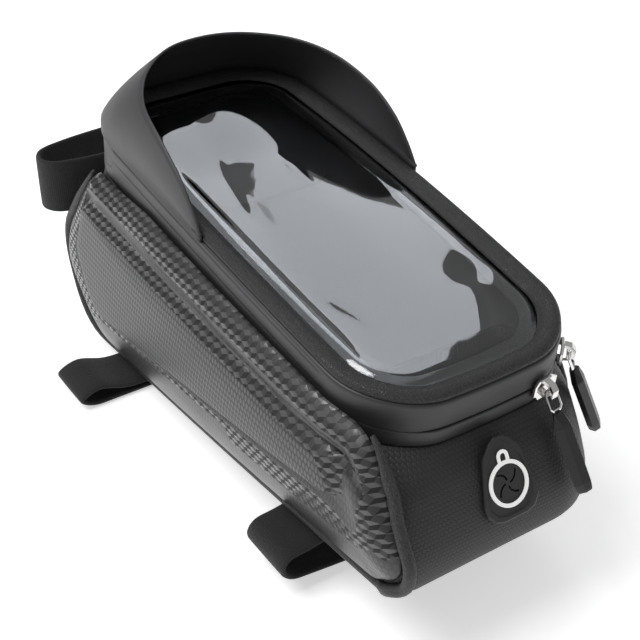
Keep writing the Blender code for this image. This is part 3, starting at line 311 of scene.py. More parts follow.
    mat, tree, bsdf = shader("pocket_lining", (0.012, 0.012, 0.013), 0.6)
    vary(tree, bsdf, object_noise(tree, 300, 3), (0.008, 0.008, 0.009), (0.016, 0.016, 0.017))
    add_bump(tree, bsdf, object_noise(tree, 1400, 2), 0.08)
    made["lining"] = mat

    mat, tree, bsdf = shader("outlet_rubber", (0.014, 0.014, 0.015), 0.5)
    vary(tree, bsdf, object_noise(tree, 200, 3), 0.42, 0.56, "Roughness")
    add_bump(tree, bsdf, object_noise(tree, 1500, 2), 0.04)
    made["rubber"] = mat

    # The ring's faint white emission is a painted glow that lifts it out of its shade; the ring is no lamp.
    mat, tree, bsdf = shader("white_ring", (0.95, 0.95, 0.94), 0.4, Emission_Strength=0.12)
    bsdf.inputs["Emission Color"].default_value = (1, 1, 1, 1)
    vary(tree, bsdf, object_noise(tree, 400, 2), 0.34, 0.46, "Roughness")
    made["white"] = mat

    mat, tree, bsdf = shader("zip_chrome", (0.78, 0.77, 0.76), 0.1, Metallic=1.0)
    vary(tree, bsdf, object_noise(tree, 500, 3), 0.07, 0.2, "Roughness")
    made["chrome"] = mat

    mat, tree, bsdf = shader("tab_plastic", (0.012, 0.012, 0.013), 0.36)
    vary(tree, bsdf, object_noise(tree, 350, 4), 0.3, 0.45, "Roughness")
    add_bump(tree, bsdf, object_noise(tree, 900, 2), 0.03)
    made["tab"] = mat

    mat, tree, bsdf = shader("zip_coil", (0.004, 0.004, 0.004), 0.75, Specular_IOR_Level=0.2)
    vary(tree, bsdf, object_noise(tree, 600, 2), 0.7, 0.85, "Roughness")
    made["coil"] = mat
    return made


# Mesh helpers


def piece(name, verts, faces, uvs, mats, place=to_bag, smooth=True, levels=0, face_mats=None):
    """An object from points in millimetres; uvs gives each face's corners in millimetres."""
    mesh = bpy.data.meshes.new(name)
    mesh.from_pydata([(place @ Vector(v)) * MM for v in verts], [], faces)
    layer = mesh.uv_layers.new(name="mm")
    loops = [corner for face in uvs for corner in face]
    for i, uv in enumerate(loops):
        layer.data[i].uv = uv
    for mat in mats:
        mesh.materials.append(mat)
    if face_mats:
        for polygon, index in zip(mesh.polygons, face_mats):
            polygon.material_index = index
    mesh.validate()
    bm = bmesh.new()
    bm.from_mesh(mesh)
    bmesh.ops.recalc_face_normals(bm, faces=bm.faces)
    bm.to_mesh(mesh)
    bm.free()
    for polygon in mesh.polygons:
        polygon.use_smooth = smooth
    obj = bpy.data.objects.new(name, mesh)
    bpy.context.scene.collection.objects.link(obj)
    if levels:
        mod = obj.modifiers.new("smooth", "SUBSURF")
        mod.levels = levels
        mod.render_levels = levels
    return obj


def lengths(path, closed=False):
    """Distance along a path at each point, with the whole length last where it is closed."""
    points = list(path) + ([path[0]] if closed else [])
    total = [0.0]
    for a, b in zip(points[:-1], points[1:]):
        total.append(total[-1] + (Vector(b) - Vector(a)).length)
    return total


def lofted(name, loops, mats, place=to_bag, closed=True, ring=False, ends=None, levels=0, row_mats=None,
           planar=None, smooth=True):
    """Quads from loop to loop. closed: each loop is closed. ring: the last loop meets the first."""
    rows = len(loops)
    count = len(loops[0])
    verts = [p for loop in loops for p in loop]
    middle = loops[rows // 2]
    around = lengths(middle, closed)
    down = lengths([loop[0] for loop in loops], ring)
    faces, uvs, face_mats = [], [], []
    for r in range(rows if ring else rows - 1):
        s = (r + 1) % rows
        for i in range(count if closed else count - 1):
            j = (i + 1) % count
            faces.append((r * count + i, r * count + j, s * count + j, s * count + i))
            if planar:
                uvs.append([planar(verts[k]) for k in faces[-1]])
            else:
                uvs.append([(around[i], down[r]), (around[i + 1], down[r]),
                            (around[i + 1], down[r + 1]), (around[i], down[r + 1])])
            face_mats.append(row_mats[r] if row_mats else 0)
    if ends:
        for r in ends:
            centre = sum((Vector(p) for p in loops[r]), Vector()) / count
            verts.append(tuple(centre))
            for i in range(count):
                j = (i + 1) % count
                faces.append((r * count + i, r * count + j, len(verts) - 1))
                uvs.append([planar(verts[k]) if planar else (verts[k][0], verts[k][1]) for k in faces[-1]])
                face_mats.append(row_mats[min(r, len(row_mats) - 1)] if row_mats else 0)
    return piece(name, verts, faces, uvs, mats, place, smooth, levels, face_mats)


def tube(name, path, radius, mats, place=to_bag, sides=12, closed=False):
    """A round bar along a path; radius may be a list."""
    points = [Vector(p) for p in path]
    count = len(points)
    radii = radius if isinstance(radius, list) else [radius] * count
    loops = []
    normal = None
    for i, point in enumerate(points):
        before = points[(i - 1) % count] if closed or i > 0 else point
        after = points[(i + 1) % count] if closed or i < count - 1 else point
        tangent = (after - before).normalized()
        if normal is None:
            normal = tangent.orthogonal().normalized()
        normal = (normal - tangent * normal.dot(tangent)).normalized()
        side = tangent.cross(normal)
        turns = [2 * math.pi * k / sides for k in range(sides)]
        loops.append([tuple(point + (normal * math.cos(a) + side * math.sin(a)) * radii[i]) for a in turns])
    if closed:
        return lofted(name, loops, mats, place, ring=True)
    return lofted(name, loops, mats, place, ends=(0, count - 1))


def spline(points, steps=6, closed=False):
    """A Catmull-Rom curve through a few points."""
    controls = [Vector(p) for p in points]
    count = len(controls)
    path = []
    for i in range(count if closed else count - 1):
        picks = [(i + k) % count if closed else min(max(i + k, 0), count - 1) for k in (-1, 0, 1, 2)]
        p0, p1, p2, p3 = (controls[k] for k in picks)
        for k in range(steps):
            t = k / steps
            path.append(0.5 * (2 * p1 + (p2 - p0) * t + (2 * p0 - 5 * p1 + 4 * p2 - p3) * t ** 2
                               + (3 * p1 - p0 - 3 * p2 + p3) * t ** 3))
    if not closed:
        path.append(controls[-1])
    return path


def lerp(a, b, t):
    return a + (b - a) * t


def clamp(value, low=0.0, high=1.0):
    return min(max(value, low), high)


def ease(t):
    t = clamp(t)
    return t * t * (3 - 2 * t)


def rounded(corners, steps=8, straight=10):
    """Points round a polygon of (u, v, radius) corners."""
    count = len(corners)
    arcs = []
    for i, (u, v, radius) in enumerate(corners):
        here = Vector((u, v))
        back = Vector(corners[i - 1][:2]) - here
        ahead = Vector(corners[(i + 1) % count][:2]) - here
        reach = min(radius / math.tan(back.angle(ahead) / 2), 0.48 * back.length, 0.48 * ahead.length)
        start = here + back.normalized() * reach
        end = here + ahead.normalized() * reach
        weight = math.sin((start - here).angle(end - here) / 2)
        arc = []
        for k in range(steps + 1):
            t = k / steps
            a, b, c = (1 - t) ** 2, 2 * weight * t * (1 - t), t ** 2
            arc.append((start * a + here * b + end * c) / (a + b + c))
        arcs.append(arc)
    points = []
    for i, arc in enumerate(arcs):
        following = arcs[(i + 1) % count][0]
        points.extend(arc)
        points.extend(arc[-1].lerp(following, k / straight) for k in range(1, straight))
    return points


# The bag's shape, from the same sizes as the CAD

lid_width, lid_length = 88.0, 203.0
rear_radius, front_radius = 26.5, 28.0
side_bow, rear_bulge, lid_crown = 2.1, 3.0, 1.7
slit_depth, band_depth = 12.3, 18.8
corner_steps, side_steps, end_steps = 14, 40, 10


def plan_loop(half, rear, front, rear_r, front_r, bow=0.0, bulge=0.0, right_r=None):
    """Points round a rounded rectangle, from the right rear, anticlockwise from above."""
    points = []
    right_r = right_r or rear_r
    side_rear, side_front = rear + rear_r, front - front_r

    def corner(x, y, radius, start):
        for k in range(1, corner_steps):
            turn = math.radians(start + 90 * k / corner_steps)
            points.append((x + radius * math.cos(turn), y + radius * math.sin(turn)))

    points.extend((half, lerp(rear + right_r, side_front, k / side_steps)) for k in range(side_steps + 1))
    corner(half - front_r, side_front, front_r, 0)
    end = half - front_r
    points.extend((lerp(end, -end, k / end_steps), front) for k in range(end_steps + 1))
    corner(-end, side_front, front_r, 90)
    points.extend((-half, lerp(side_front, side_rear, k / side_steps)) for k in range(side_steps + 1))
    end = half - rear_r
    corner(-end, side_rear, rear_r, 180)
    right_end = half - right_r
    points.extend((lerp(-end, right_end, k / end_steps), rear) for k in range(end_steps + 1))
    corner(right_end, rear + right_r, right_r, 270)
    middle, reach = (rear + front) / 2, (front - rear) / 2
    shaped = []
    for x, y in points:
        along = (y - middle) / reach
        out = min(1.0, abs(x) / half)
        rearness = clamp((side_rear - y) / rear_r)
        shaped.append((x + math.copysign(bow * out * (1 - along ** 2), x),
                       y - bulge * rearness * (1 - out ** 2)))
    return shaped


def lid_loop(inset):
    return plan_loop(lid_width / 2 - inset, -lid_length / 2 + inset, lid_length / 2 - inset,
                     rear_radius - inset, front_radius - inset, side_bow, rear_bulge)


def crown(y):
    return lid_crown * (1 - (2 * y / lid_length) ** 2)


shell_rows = [
    (0.00, -98.5, 103.0, 43.6, 26.0, 27.5, 2.1, 3.0),
    (0.07, -102.0, 103.6, 44.2, 20.0, 25.0, 2.0, 2.4),
    (0.16, -107.5, 106.0, 44.8, 12.0, 20.0, 1.9, 1.5),
    (0.27, -111.0, 112.0, 45.0, 8.0, 16.0, 1.8, 1.0),
    (0.38, -114.0, 118.0, 45.0, 6.0, 13.0, 1.7, 0.6),
    (0.50, -116.6, 124.0, 45.0, 5.5, 12.0, 1.6, 0.3),
    (0.62, -118.6, 127.6, 45.0, 5.5, 11.0, 1.5, 0.1),
    (0.79, -119.4, 123.5, 44.8, 5.5, 11.0, 1.4, 0.0),
    (0.92, -116.8, 112.5, 44.0, 6.0, 12.0, 1.3, 0.0),
    (1.00, -110.5, 99.0, 39.5, 7.0, 14.0, 1.0, 0.0),
]
body_height = 69.3
zip_side_radius = 26.0
side_drop = 1.8
top_slope = math.tan(lid_pitch)
base_slope = -math.tan(math.radians(6.96))
shell_top = -19.1 / math.cos(lid_pitch)


def row_at(share):
    """The shell's section sizes at a share of the height, on smooth curves."""
    share = clamp(share)
    for i in range(len(shell_rows) - 1):
        if share <= shell_rows[i + 1][0]:
            break
    picks = [shell_rows[min(max(i + k, 0), len(shell_rows) - 1)] for k in (-1, 0, 1, 2)]
    t = (share - picks[1][0]) / (picks[2][0] - picks[1][0])
    span = picks[2][0] - picks[1][0]
    sizes = []
    for p0, p1, p2, p3 in zip(*picks):
        m1 = (p2 - p0) / max(picks[2][0] - picks[0][0], 1e-6) * span
        m2 = (p3 - p1) / max(picks[3][0] - picks[1][0], 1e-6) * span
        sizes.append((2 * t ** 3 - 3 * t ** 2 + 1) * p1 + (t ** 3 - 2 * t ** 2 + t) * m1
                     + (3 * t ** 2 - 2 * t ** 3) * p2 + (t ** 3 - t ** 2) * m2)
    return sizes


def section_z(share, y):
    slope = lerp(top_slope, base_slope, share)
    return shell_top - share * body_height + slope * y + crown(y) * max(0.0, 1 - 4 * share)


def base_z(y):
    return shell_top - body_height + base_slope * y


def groove(x):
    return 4.0 * (1 - ease((abs(x) - 14.0) / 14.0))


def side_x(y, z, left):
    share = (shell_top + top_slope * y - z) / (body_height - (base_slope - top_slope) * y)
    _, rear, front, half, rear_r, front_r, bow, _ = row_at(share)
    if not left:
        rear_r = max(rear_r, zip_side_radius)
    if share < 0:
        rear, half = rear - 3.0, lid_width / 2 + 0.1
    drop = 0.0
    for radius, into in ((rear_r, rear + rear_r - y), (front_r, y - front + front_r)):
        if into > 0:
            drop = max(drop, radius - math.sqrt(radius ** 2 - min(into, radius) ** 2))
    along = (y - (rear + front) / 2) / ((front - rear) / 2)
    return half + bow * (1 - min(along ** 2, 1)) - side_drop * math.tanh(drop / side_drop)


def side_point(y, z, height, left):
    """A point at a height above the body's side, along its normal."""
    step = 2.0
    along = (side_x(y + step, z, left) - side_x(y - step, z, left)) / (2 * step)
    up = (side_x(y, z + step, left) - side_x(y, z - step, left)) / (2 * step)
    normal = Vector((1.0, -clamp(along, -0.8, 0.8), -clamp(up, -0.8, 0.8))).normalized()
    spot = Vector((side_x(y, z, left), y, z)) + normal * height
    return (-spot.x if left else spot.x, spot.y, spot.z)


# Body pieces


def make_body(mats):
    """The sewn body as one skin with its lining, soft at the corners."""
    loops = []
    shares = [0.0, 0.03, 0.07, 0.11, 0.16, 0.21, 0.27, 0.32, 0.38, 0.44, 0.5, 0.56, 0.62,
              0.7, 0.79, 0.85, 0.89, 0.92, 0.945, 0.965, 0.985, 1.0]
    for inset in (0.0, 2.0):
        side = []
        for share in shares:
            _, rear, front, half, rear_r, front_r, bow, bulge = row_at(share)
            plan = plan_loop(half - inset, rear + inset, front - inset, max(rear_r - inset, 2.0),
                             max(front_r - inset, 2.0), bow, bulge, max(rear_r, zip_side_radius) - inset)
            row = []
            for x, y in plan:
                z = section_z(share, y) + inset * max(0.0, (share - 0.75) / 0.25)
                sag = noise.noise(Vector((x, y, z)) * 0.03) * 0.6 * math.sin(math.pi * share)
                out = Vector((x, y - clamp(y, -70, 90), 0))
                shift = out.normalized() * sag if out.length > 1 and inset == 0 else Vector()
                row.append((x + shift.x * 0.3, y + shift.y, z))
            side.append(row)
        _, rear, front, half, rear_r, front_r, _, _ = shell_rows[-1]
        for spread, shrink in ((0.9, 3.0), (0.72, 9.0), (0.52, 14.0), (0.354, 20.0)):
            width = half * spread - inset * 0.5
            plan = plan_loop(width, rear + shrink, front - shrink, min(rear_r, width * 0.8),
                             min(front_r, width * 0.8), 0, 0, min(zip_side_radius, width * 0.8))
            side.append([(x, y, base_z(y) + groove(x) + inset) for x, y in plan])
        loops.append(side)
    outer, inner = loops

    def planar(p):
        walls = clamp((abs(p[1]) - 60) / 20)
        return (p[0], p[2] * 1.1 if walls > 0.5 else p[1])

    body = lofted("body_cloth", outer[::-1] + inner, [mats["cloth"]], ends=(0, len(outer) * 2 - 1),
                  planar=planar)
    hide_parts("gusset_shell")
    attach(body, "root")


panel_outline = [(-98, -19.0, 16), (-120.5, -60, 16), (-106, -70.3, 12), (100, -95.3, 30),
                 (130, -62, 22), (85, -8.5, 11), (40, -6.5, 60)]
panel_ridge = [(-97, -25, 8), (-104.5, -54, 7), (-90, -49.5, 9), (88, -75, 14),
               (104, -52, 12), (82, -14, 6), (28, -15.5, 40)]
panel_step = [(-90, -31.5, 4), (-94, -41, 3), (-89, -46, 5), (87, -73.5, 12),
              (100, -48, 10), (85, -19.5, 5), (20, -24, 40)]
panel_field = [(-81, -35, 4), (-89, -41, 3), (-87, -44.5, 4), (86, -72, 11),
               (97, -47, 9), (86, -24, 5), (22, -28, 40)]


def on_zip_side(corners):
    """The relief on the zip's side, pressed below the band."""
    pressed = []
    for y, z, radius in corners:
        y = max(y, lerp(y, -60.0, 0.52))
        low = base_z(y) + 4
        top = lerp(-19.0, -6.5, clamp((y + 98) / 138))
        share = clamp((z - low) / (top - low))
        below_band = shell_top + top_slope * y - 2.0
        pressed.append((y, z + share * min(below_band - top, 0.0), radius))
    return pressed


def mixed(a, b, t):
    return [tuple(lerp(p, q, t) for p, q in zip(u, v)) for u, v in zip(a, b)]


def shrunk(corners, factor):
    middle_y = sum(c[0] for c in corners) / len(corners)
    middle_z = sum(c[1] for c in corners) / len(corners)
    return [(lerp(middle_y, y, factor), lerp(middle_z, z, factor), r * factor) for y, z, r in corners]


def make_panel(left, mats):
    """The moulded panel: a domed flank, a rounded ridge, a step, a rib and the raised field."""
    o, r, s, t = panel_outline, panel_ridge, panel_step, panel_field
    relief = [(o, 0.0, 1), (o, 0.7, 1), (mixed(o, r, 0.04), 1.3, 1), (mixed(o, r, 0.25), 2.9, 1),
              (mixed(o, r, 0.6), 4.9, 1), (mixed(o, r, 0.88), 5.6, 1), (r, 5.7, 0),
              (mixed(r, s, 0.3), 5.4, 0), (mixed(r, s, 0.8), 4.5, 0), (s, 4.5, 1),
              (mixed(s, t, 0.15), 4.7, 1),
              (mixed(s, t, 0.75), 6.8, 1), (t, 7.3, 2), (mixed(t, shrunk(t, 0.45), 0.06), 7.5, 2),
              (mixed(t, shrunk(t, 0.45), 0.5), 7.9, 2), (shrunk(t, 0.45), 8.2, 2),
              (shrunk(t, 0.2), 8.3, 2)]
    loops, row_mats = [], []
    for corners, height, mat in relief:
        corners = corners if left else on_zip_side(corners)
        loops.append([side_point(p.x, p.y, 1.3 + height, left) for p in rounded(corners)])
        row_mats.append(mat)
    name = "panel_skin_left" if left else "panel_skin_right"
    panel = lofted(name, loops, [mats["panel"], mats["blocks"], mats["scales"]], ends=(len(loops) - 1,),
                   row_mats=row_mats, planar=lambda p: (p[1], p[2]))
    low_flank = 21.0
    for face in panel.data.polygons:
        centre = (to_bag.inverted() @ (face.center / MM))
        low = centre.z < base_z(centre.y) + low_flank
        if face.material_index == 1 and low:
            face.material_index = 0
    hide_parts("side_panel_left" if left else "side_panel_right")
    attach(panel, "root")


def grown(corners, distance):
    moved = []
    count = len(corners)
    for i, (u, v, radius) in enumerate(corners):
        here = Vector((u, v))
        before = (here - Vector(corners[i - 1][:2])).normalized()
        after = (Vector(corners[(i + 1) % count][:2]) - here).normalized()
        out_before = Vector((before.y, -before.x))
        middle = (out_before + Vector((after.y, -after.x))).normalized()
        spot = here + middle * (distance / max(middle.dot(out_before), 0.3))
        moved.append((spot.x, spot.y, radius + distance))
    return moved


def make_piping(left, mats):
    """The covered cord in the seam round the panel."""
    corners = panel_outline if left else on_zip_side(panel_outline)
    loop = rounded(grown(corners, 3.4), 8, 12)
    per_corner = 20
    path = []
    for p in loop[4:5 * per_corner + 8]:
        z = max(p.y, base_z(p.x) + 2.0)
        behind = left and p.x < 0
        if z > shell_top + top_slope * p.x - 2.6 and not behind:
            continue
        path.append(side_point(p.x, z, 1.7, left))
    name = "piping_cord_left" if left else "piping_cord_right"
    radius = 2.15
    radii = [radius * min(1.0, 0.4 + 0.1 * min(i, len(path) - 1 - i)) for i in range(len(path))]
    cord = tube(name, path, radii, [mats["leather"]], sides=14)
    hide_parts("piping_left" if left else "piping_right")
    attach(cord, "root")


def lid_ring(name, profile, mats, **options):
    """Sweeps (inset, depth) points round the lid outline."""
    loops = []
    for inset, depth in profile:
        loops.append([(x, y, crown(y) - depth) for x, y in lid_loop(inset)])
    return lofted(name, loops, mats, to_lid, ring=True, **options)


slit_gap = 0.35
wall_top = 0.9
hinge_split = 5.5
left_first = side_steps + 1 + 2 * (corner_steps - 1) + end_steps + 1
zip_first = left_first + side_steps + corner_steps - 4


def split_at(i):
    """Depth of the split between the lid and the body, and how far its lips stand open."""
    along = (i - left_first) / side_steps
    hinged = ease(min(along, 1 - along) / 0.03)
    opened = 1.0
    if left_first - corner_steps < i < zip_first + 3:
        opened = max(ease((left_first - i) / corner_steps), ease((i - zip_first) / 3))
    return lerp(slit_depth, hinge_split, hinged), opened


def lip_ring(name, rows, far, mats):
    """A band of the lid outline from a far edge to the split.

    The rows are (inset, share of the height, inset added where the lips stand open).
    """
    loops = []
    for inset, share, lip in rows:
        plan, flush = lid_loop(inset + lip), lid_loop(inset)
        row = []
        for i in range(len(plan)):
            split, opened = split_at(i)
            edge = split + math.copysign(slit_gap * opened + 0.02, far - split)
            x, y = lerp(flush[i][0], plan[i][0], opened), lerp(flush[i][1], plan[i][1], opened)
            row.append((x, y, crown(y) - lerp(far, edge, share)))
        loops.append(row)
    return lofted(name, loops, mats, to_lid, ring=True)


def make_bands(mats):
    """The band round the mouth, the lid's wall and the cloth that joins them on the left."""
    band_rows = [(0.8, 0.0, 0), (0.25, 0.05, 0), (0.0, 0.16, 0), (-0.15, 0.5, 0), (-0.05, 0.85, 0),
                 (0.0, 0.93, 0.06), (0.0, 0.98, 0.25), (0.1, 1.0, 0.5), (2.0, 1.0, 0), (2.0, 0.0, 0)]
    band = lip_ring("mouth_band", band_rows, band_depth, [mats["band"]])
    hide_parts("top_band")
    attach(band, "root")
    wall_rows = [(2.0, 0.0, 0), (2.0, 1.0, 0), (0.1, 1.0, 0.5), (0.0, 0.985, 0.25), (0.0, 0.95, 0.06),
                 (0.0, 0.9, 0), (0.0, 0.5, 0), (0.0, 0.14, 0), (0.3, 0.03, 0), (0.9, 0.0, 0)]
    wall = lip_ring("lid_skin", wall_rows, wall_top, [mats["band"]])
    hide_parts("lid_wall")
    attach(wall, "lid")
    run = lid_loop(0)[left_first - 1:left_first + side_steps + 2]
    loops = []
    section = ((-0.3, 8.8), (0.1, 8.5), (0.26, 7.4), (0.3, 5.5), (0.26, 3.8), (0.1, 2.9), (-0.3, 2.6))
    for out, depth in section:
        row = []
        for i, (x, y) in enumerate(run):
            before = Vector(run[max(i - 1, 0)])
            after = Vector(run[min(i + 1, len(run) - 1)])
            along = (after - before).normalized()
            fade = ease(min(i, len(run) - 1 - i) / 2)
            spot = Vector((x, y)) - Vector((-along.y, along.x)) * (lerp(-0.3, out, fade))
            row.append((spot.x, spot.y, crown(y) - depth))
        loops.append(row)
    skin = lofted("hinge_skin", loops, [mats["band"]], to_lid, closed=False)
    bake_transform(skin)


def make_lid(mats):
    """The padded rim and the film."""
    section = [(0.9, 0.6), (0.55, 0.0), (0.75, -0.8), (1.5, -1.5), (2.7, -1.9), (4.2, -1.85),
               (5.6, -1.45), (6.8, -0.8), (7.8, 0.0), (8.3, 0.6), (8.3, 0.85), (0.9, 0.85)]
    rim = lid_ring("rim_cord", section, [mats["leather"]])
    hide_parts("lid_rim")
    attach(rim, "lid")

    rows, across = 190, 110
    verts, uvs, faces = [], [], []
    rear, front = -lid_length / 2 + 2.4, lid_length / 2 - 2.4
    for side in (0, 1):
        for r in range(rows + 1):
            t = 0.5 - 0.5 * math.cos(math.pi * r / rows)
            y = lerp(rear, front, t)
            half = film_half(y, rear, front)
            for k in range(across + 1):
                x = lerp(-half, half, k / across)
                bulge = rear_bulge * clamp((rear + 24 - y) / 24) * (1 - (x / 44) ** 2)
                verts.append((x, y - bulge, crown(y) - 1.25 - 0.4 * side + film_wave(x, y - bulge)))
    size = (rows + 1) * (across + 1)
    for side in (0, 1):
        for r in range(rows):
            for k in range(across):
                a = side * size + r * (across + 1) + k
                faces.append((a, a + 1, a + across + 2, a + across + 1))
                uvs.append([verts[i][:2] for i in faces[-1]])
    border = ([k for k in range(across + 1)] + [r * (across + 1) + across for r in range(1, rows + 1)]
              + [rows * (across + 1) + k for k in range(across - 1, -1, -1)]
              + [r * (across + 1) for r in range(rows - 1, 0, -1)])
    for a, b in zip(border, border[1:] + border[:1]):
        faces.append((a, b, b + size, a + size))
        uvs.append([verts[i][:2] for i in faces[-1]])
    film = piece("film_sheet", verts, faces, uvs, [mats["film"]], to_lid)
    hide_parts("window_film")
    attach(film, "lid")


def film_half(y, rear, front):
    """Half width of the film at a length along the lid."""
    full = lid_width / 2 - 2.4
    half = full
    for radius, into in ((rear_radius - 2.4, rear + rear_radius - 2.4 - y),
                         (front_radius - 2.4, y - front + front_radius - 2.4)):
        if into > 0:
            arc = math.sqrt(max(radius ** 2 - min(into, radius) ** 2, 0.0))
            half = min(half, full - radius + arc)
    return half + side_bow * (1 - (y / 101.5) ** 2) * 0.9


def along_line(x, y, start, end):
    """Where a point lies by a line: share along it, and distance to its left."""
    run = Vector(end) - Vector(start)
    rel = Vector((x, y)) - Vector(start)
    return rel.dot(run) / run.length_squared, (run.x * rel.y - run.y * rel.x) / run.length


# Creases of the slack film in the lid frame: start, end, width, height of the step
creases = [((42, -52), (24.5, -67), 2.6, 0.55), ((27, -64), (9.5, -96), 2.0, -0.42),
           ((4.4, 34), (5.6, 7), 0.9, 0.16), ((9, 30), (6.5, 9), 0.8, -0.12),
           ((-26.2, -42), (-19.5, -66), 0.9, 0.2), ((-14, 46), (-23, 4), 0.9, 0.18)]


film_lift = 4.4


def film_wave(x, y):
    """Height of the slack film: pillowed at its edges, with ripples that fan out from the visor."""
    rim = 8.3
    half = lid_width / 2 + side_bow * (1 - (y / 101.5) ** 2) - rim
    corner = 20.0
    into_x, into_y = half - abs(x), lid_length / 2 - rim - abs(y + 0.5)
    if into_x < corner and into_y < corner:
        edge = corner - math.hypot(corner - into_x, corner - into_y)
    else:
        edge = min(into_x, into_y)
    pillow = 1.7 * ease((edge + 0.5) / (6.5 if y > 0 else lerp(6.5, 4.0, ease(-y / 80))))
    side = x - 5.5
    if side > 0:
        reach, fall, ends, base, growth = 13.0 + (66 - y) * 0.19, 9.0, -8.0, 0.078, 0.0011
    else:
        reach, fall, ends, base, growth = 14.0 + (66 - y) * 0.127, 7.0, -41.0, 0.1, 0.00035
    steep = base * ease((y - ends + 60) / 60) + growth * max(0.0, y - ends)
    inner = min(abs(side) / reach, 1.0) * math.pi / 2
    outer = clamp((abs(side) - reach) / fall) * math.pi / 2
    ripple = -steep * 2 / math.pi * (reach * (1 - math.cos(inner)) + fall * math.sin(outer))
    lift = film_lift * ease((y - 34) / 40) * ease((97 - y) / 26)
    fine = 0.16 * noise.noise(Vector((x * 0.06, y * 0.02, 3.1)))
    step = 0.0
    for start, end, width, height in creases:
        t, off = along_line(x, y, start, end)
        near = math.exp(-(off / 9) ** 2)
        step += height * math.tanh(off / width) * math.exp(-((t - 0.5) / 0.42) ** 4) * near
    still = ease(edge / 9)
    return pillow + still * (ripple + lift + fine + step)


visor_edge = [(46.0, 1.0, 3.2), (45.8, 7.0, 10.6), (45.6, 17.0, 18.6), (44.8, 32.0, 24.2),
              (41.6, 51.0, 26.9), (33.4, 66.6, 28.0), (21.0, 79.4, 27.4), (8.0, 86.8, 26.3)]


def make_visor(mats):
    """The sun visor, a thin sheet sewn in round the front of the rim."""
    edge = visor_edge + [(-x, y, z) for x, y, z in visor_edge[::-1]]
    top_path = spline(edge, 8)
    plan = lid_loop(-0.35)
    start = Vector((46.1, visor_edge[0][1]))
    front = [start] + [Vector(p) for p in plan if p[1] > start.y] + [Vector((-start.x, start.y))]
    total = lengths(front)
    across = len(top_path)
    rows = 14
    middle = []
    for i, top in enumerate(top_path):
        goal = i / (across - 1) * total[-1]
        k = next(n for n in range(len(front) - 1) if total[n + 1] >= goal - 1e-6)
        spot = front[k].lerp(front[k + 1], (goal - total[k]) / (total[k + 1] - total[k]))
        run = (front[k + 1] - front[k]).normalized()
        base = Vector((spot.x, spot.y, crown(spot.y) - 1.0))
        out = Vector((run.y, -run.x, 0))
        rise = base + Vector((0, 0, 3.4))
        column = [base]
        for n in range(rows - 1):
            t = n / (rows - 2)
            bow = 1.6 * 4 * t * (1 - t) * min(1.0, top.z / 20)
            ripple = 0.35 * math.sin(i * 0.11 + 2.0) * t
            column.append(rise.lerp(top, t) + out * (bow + ripple))
        middle.append(column)
    loops = []
    for column_index, column in enumerate(middle):
        outer, inner = [], []
        for k, point in enumerate(column):
            along = middle[min(column_index + 1, across - 1)][k] - middle[max(column_index - 1, 0)][k]
            up = column[min(k + 1, rows - 1)] - column[max(k - 1, 0)]
            normal = along.cross(up).normalized() * 0.48
            outer.append(tuple(point + normal))
            inner.append(tuple(point - normal))
        top = column[-1] + (column[-1] - column[-2]).normalized() * 0.35
        loops.append(outer + [tuple(top)] + inner[::-1])
    visor = lofted("visor_skin", loops, [mats["visor"]], to_lid, ends=(0, across - 1))
    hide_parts("visor")
    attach(visor, "lid")


# Straps


def strip_ring(name, path, half, low, high, mats, along="y"):
    """A flat strap round a closed path, with rounded edges; the path lies across the strap's width."""
    count = len(path)
    total = lengths(path, True)
    steps = [(-1.0, 0.0), (-0.97, 0.6), (-0.9, 0.95), (-0.5, 1.0), (0.0, 1.0), (0.5, 1.0), (0.9, 0.95),
             (0.97, 0.6), (1.0, 0.0), (0.97, -0.6), (0.9, -0.95), (0.5, -1.0), (0.0, -1.0), (-0.5, -1.0),
             (-0.9, -0.95), (-0.97, -0.6)]
    loops = []
    middle, reach = (low + high) / 2, (high - low) / 2
    for i, point in enumerate(path):
        tangent = (path[(i + 1) % count] - path[i - 1]).normalized()
        normal = Vector((tangent.y, -tangent.x))
        loop = []
        for across, out in steps:
            p = point + normal * out * half
            w = middle + across * reach
            loop.append((p.x, w, p.y) if along == "y" else (p.x, p.y, w))
        loops.append(loop)
    verts = [p for loop in loops for p in loop]
    size = len(steps)
    rim = lengths([(a * reach, o * half) for a, o in steps], True)
    faces, uvs = [], []
    for i in range(count):
        j = (i + 1) % count
        for k in range(size):
            m = (k + 1) % size
            faces.append((i * size + k, i * size + m, j * size + m, j * size + k))
            uvs.append([(rim[k], total[i]), (rim[k + 1], total[i]), (rim[k + 1], total[i + 1]),
                        (rim[k], total[i + 1])])
    return piece(name, verts, faces, uvs, mats)


head_strap_z, head_strap_half = -36.5, 12.3
floor_drop = 105.5
top_run = -1.4
rear_strap = [(30, 1, top_run), (0, 1, top_run), (-22, 1, top_run - 0.2), (-35, 1, top_run - 2.2),
              (-47, 0, 18.6), (-55.5, 0, 17.6), (-58.5, 0, 13.0), (-55, 0, 8.4),
              (-46, 0, 6.6), (-18, 0, 3.4), (6, 0, 1.3), (30, 0, 1.1), (37, 0, 4.0), (40, 0.5, 0.0),
              (37, 1, top_run - 2.6)]
front_strap = [(30, 1, top_run), (0, 1, top_run), (-26, 1, top_run - 0.2), (-39, 1, top_run - 2.0),
               (-51, 1, top_run - 1.4), (-63, 0, 8.4), (-71.5, 0, 5.2), (-66, 0, 1.5),
               (-54, 0, 1.1), (-20, 0, 1.1), (6, 0, 1.1), (30, 0, 1.1), (36, 0.3, 0.0), (36, 0.72, 0.0)]


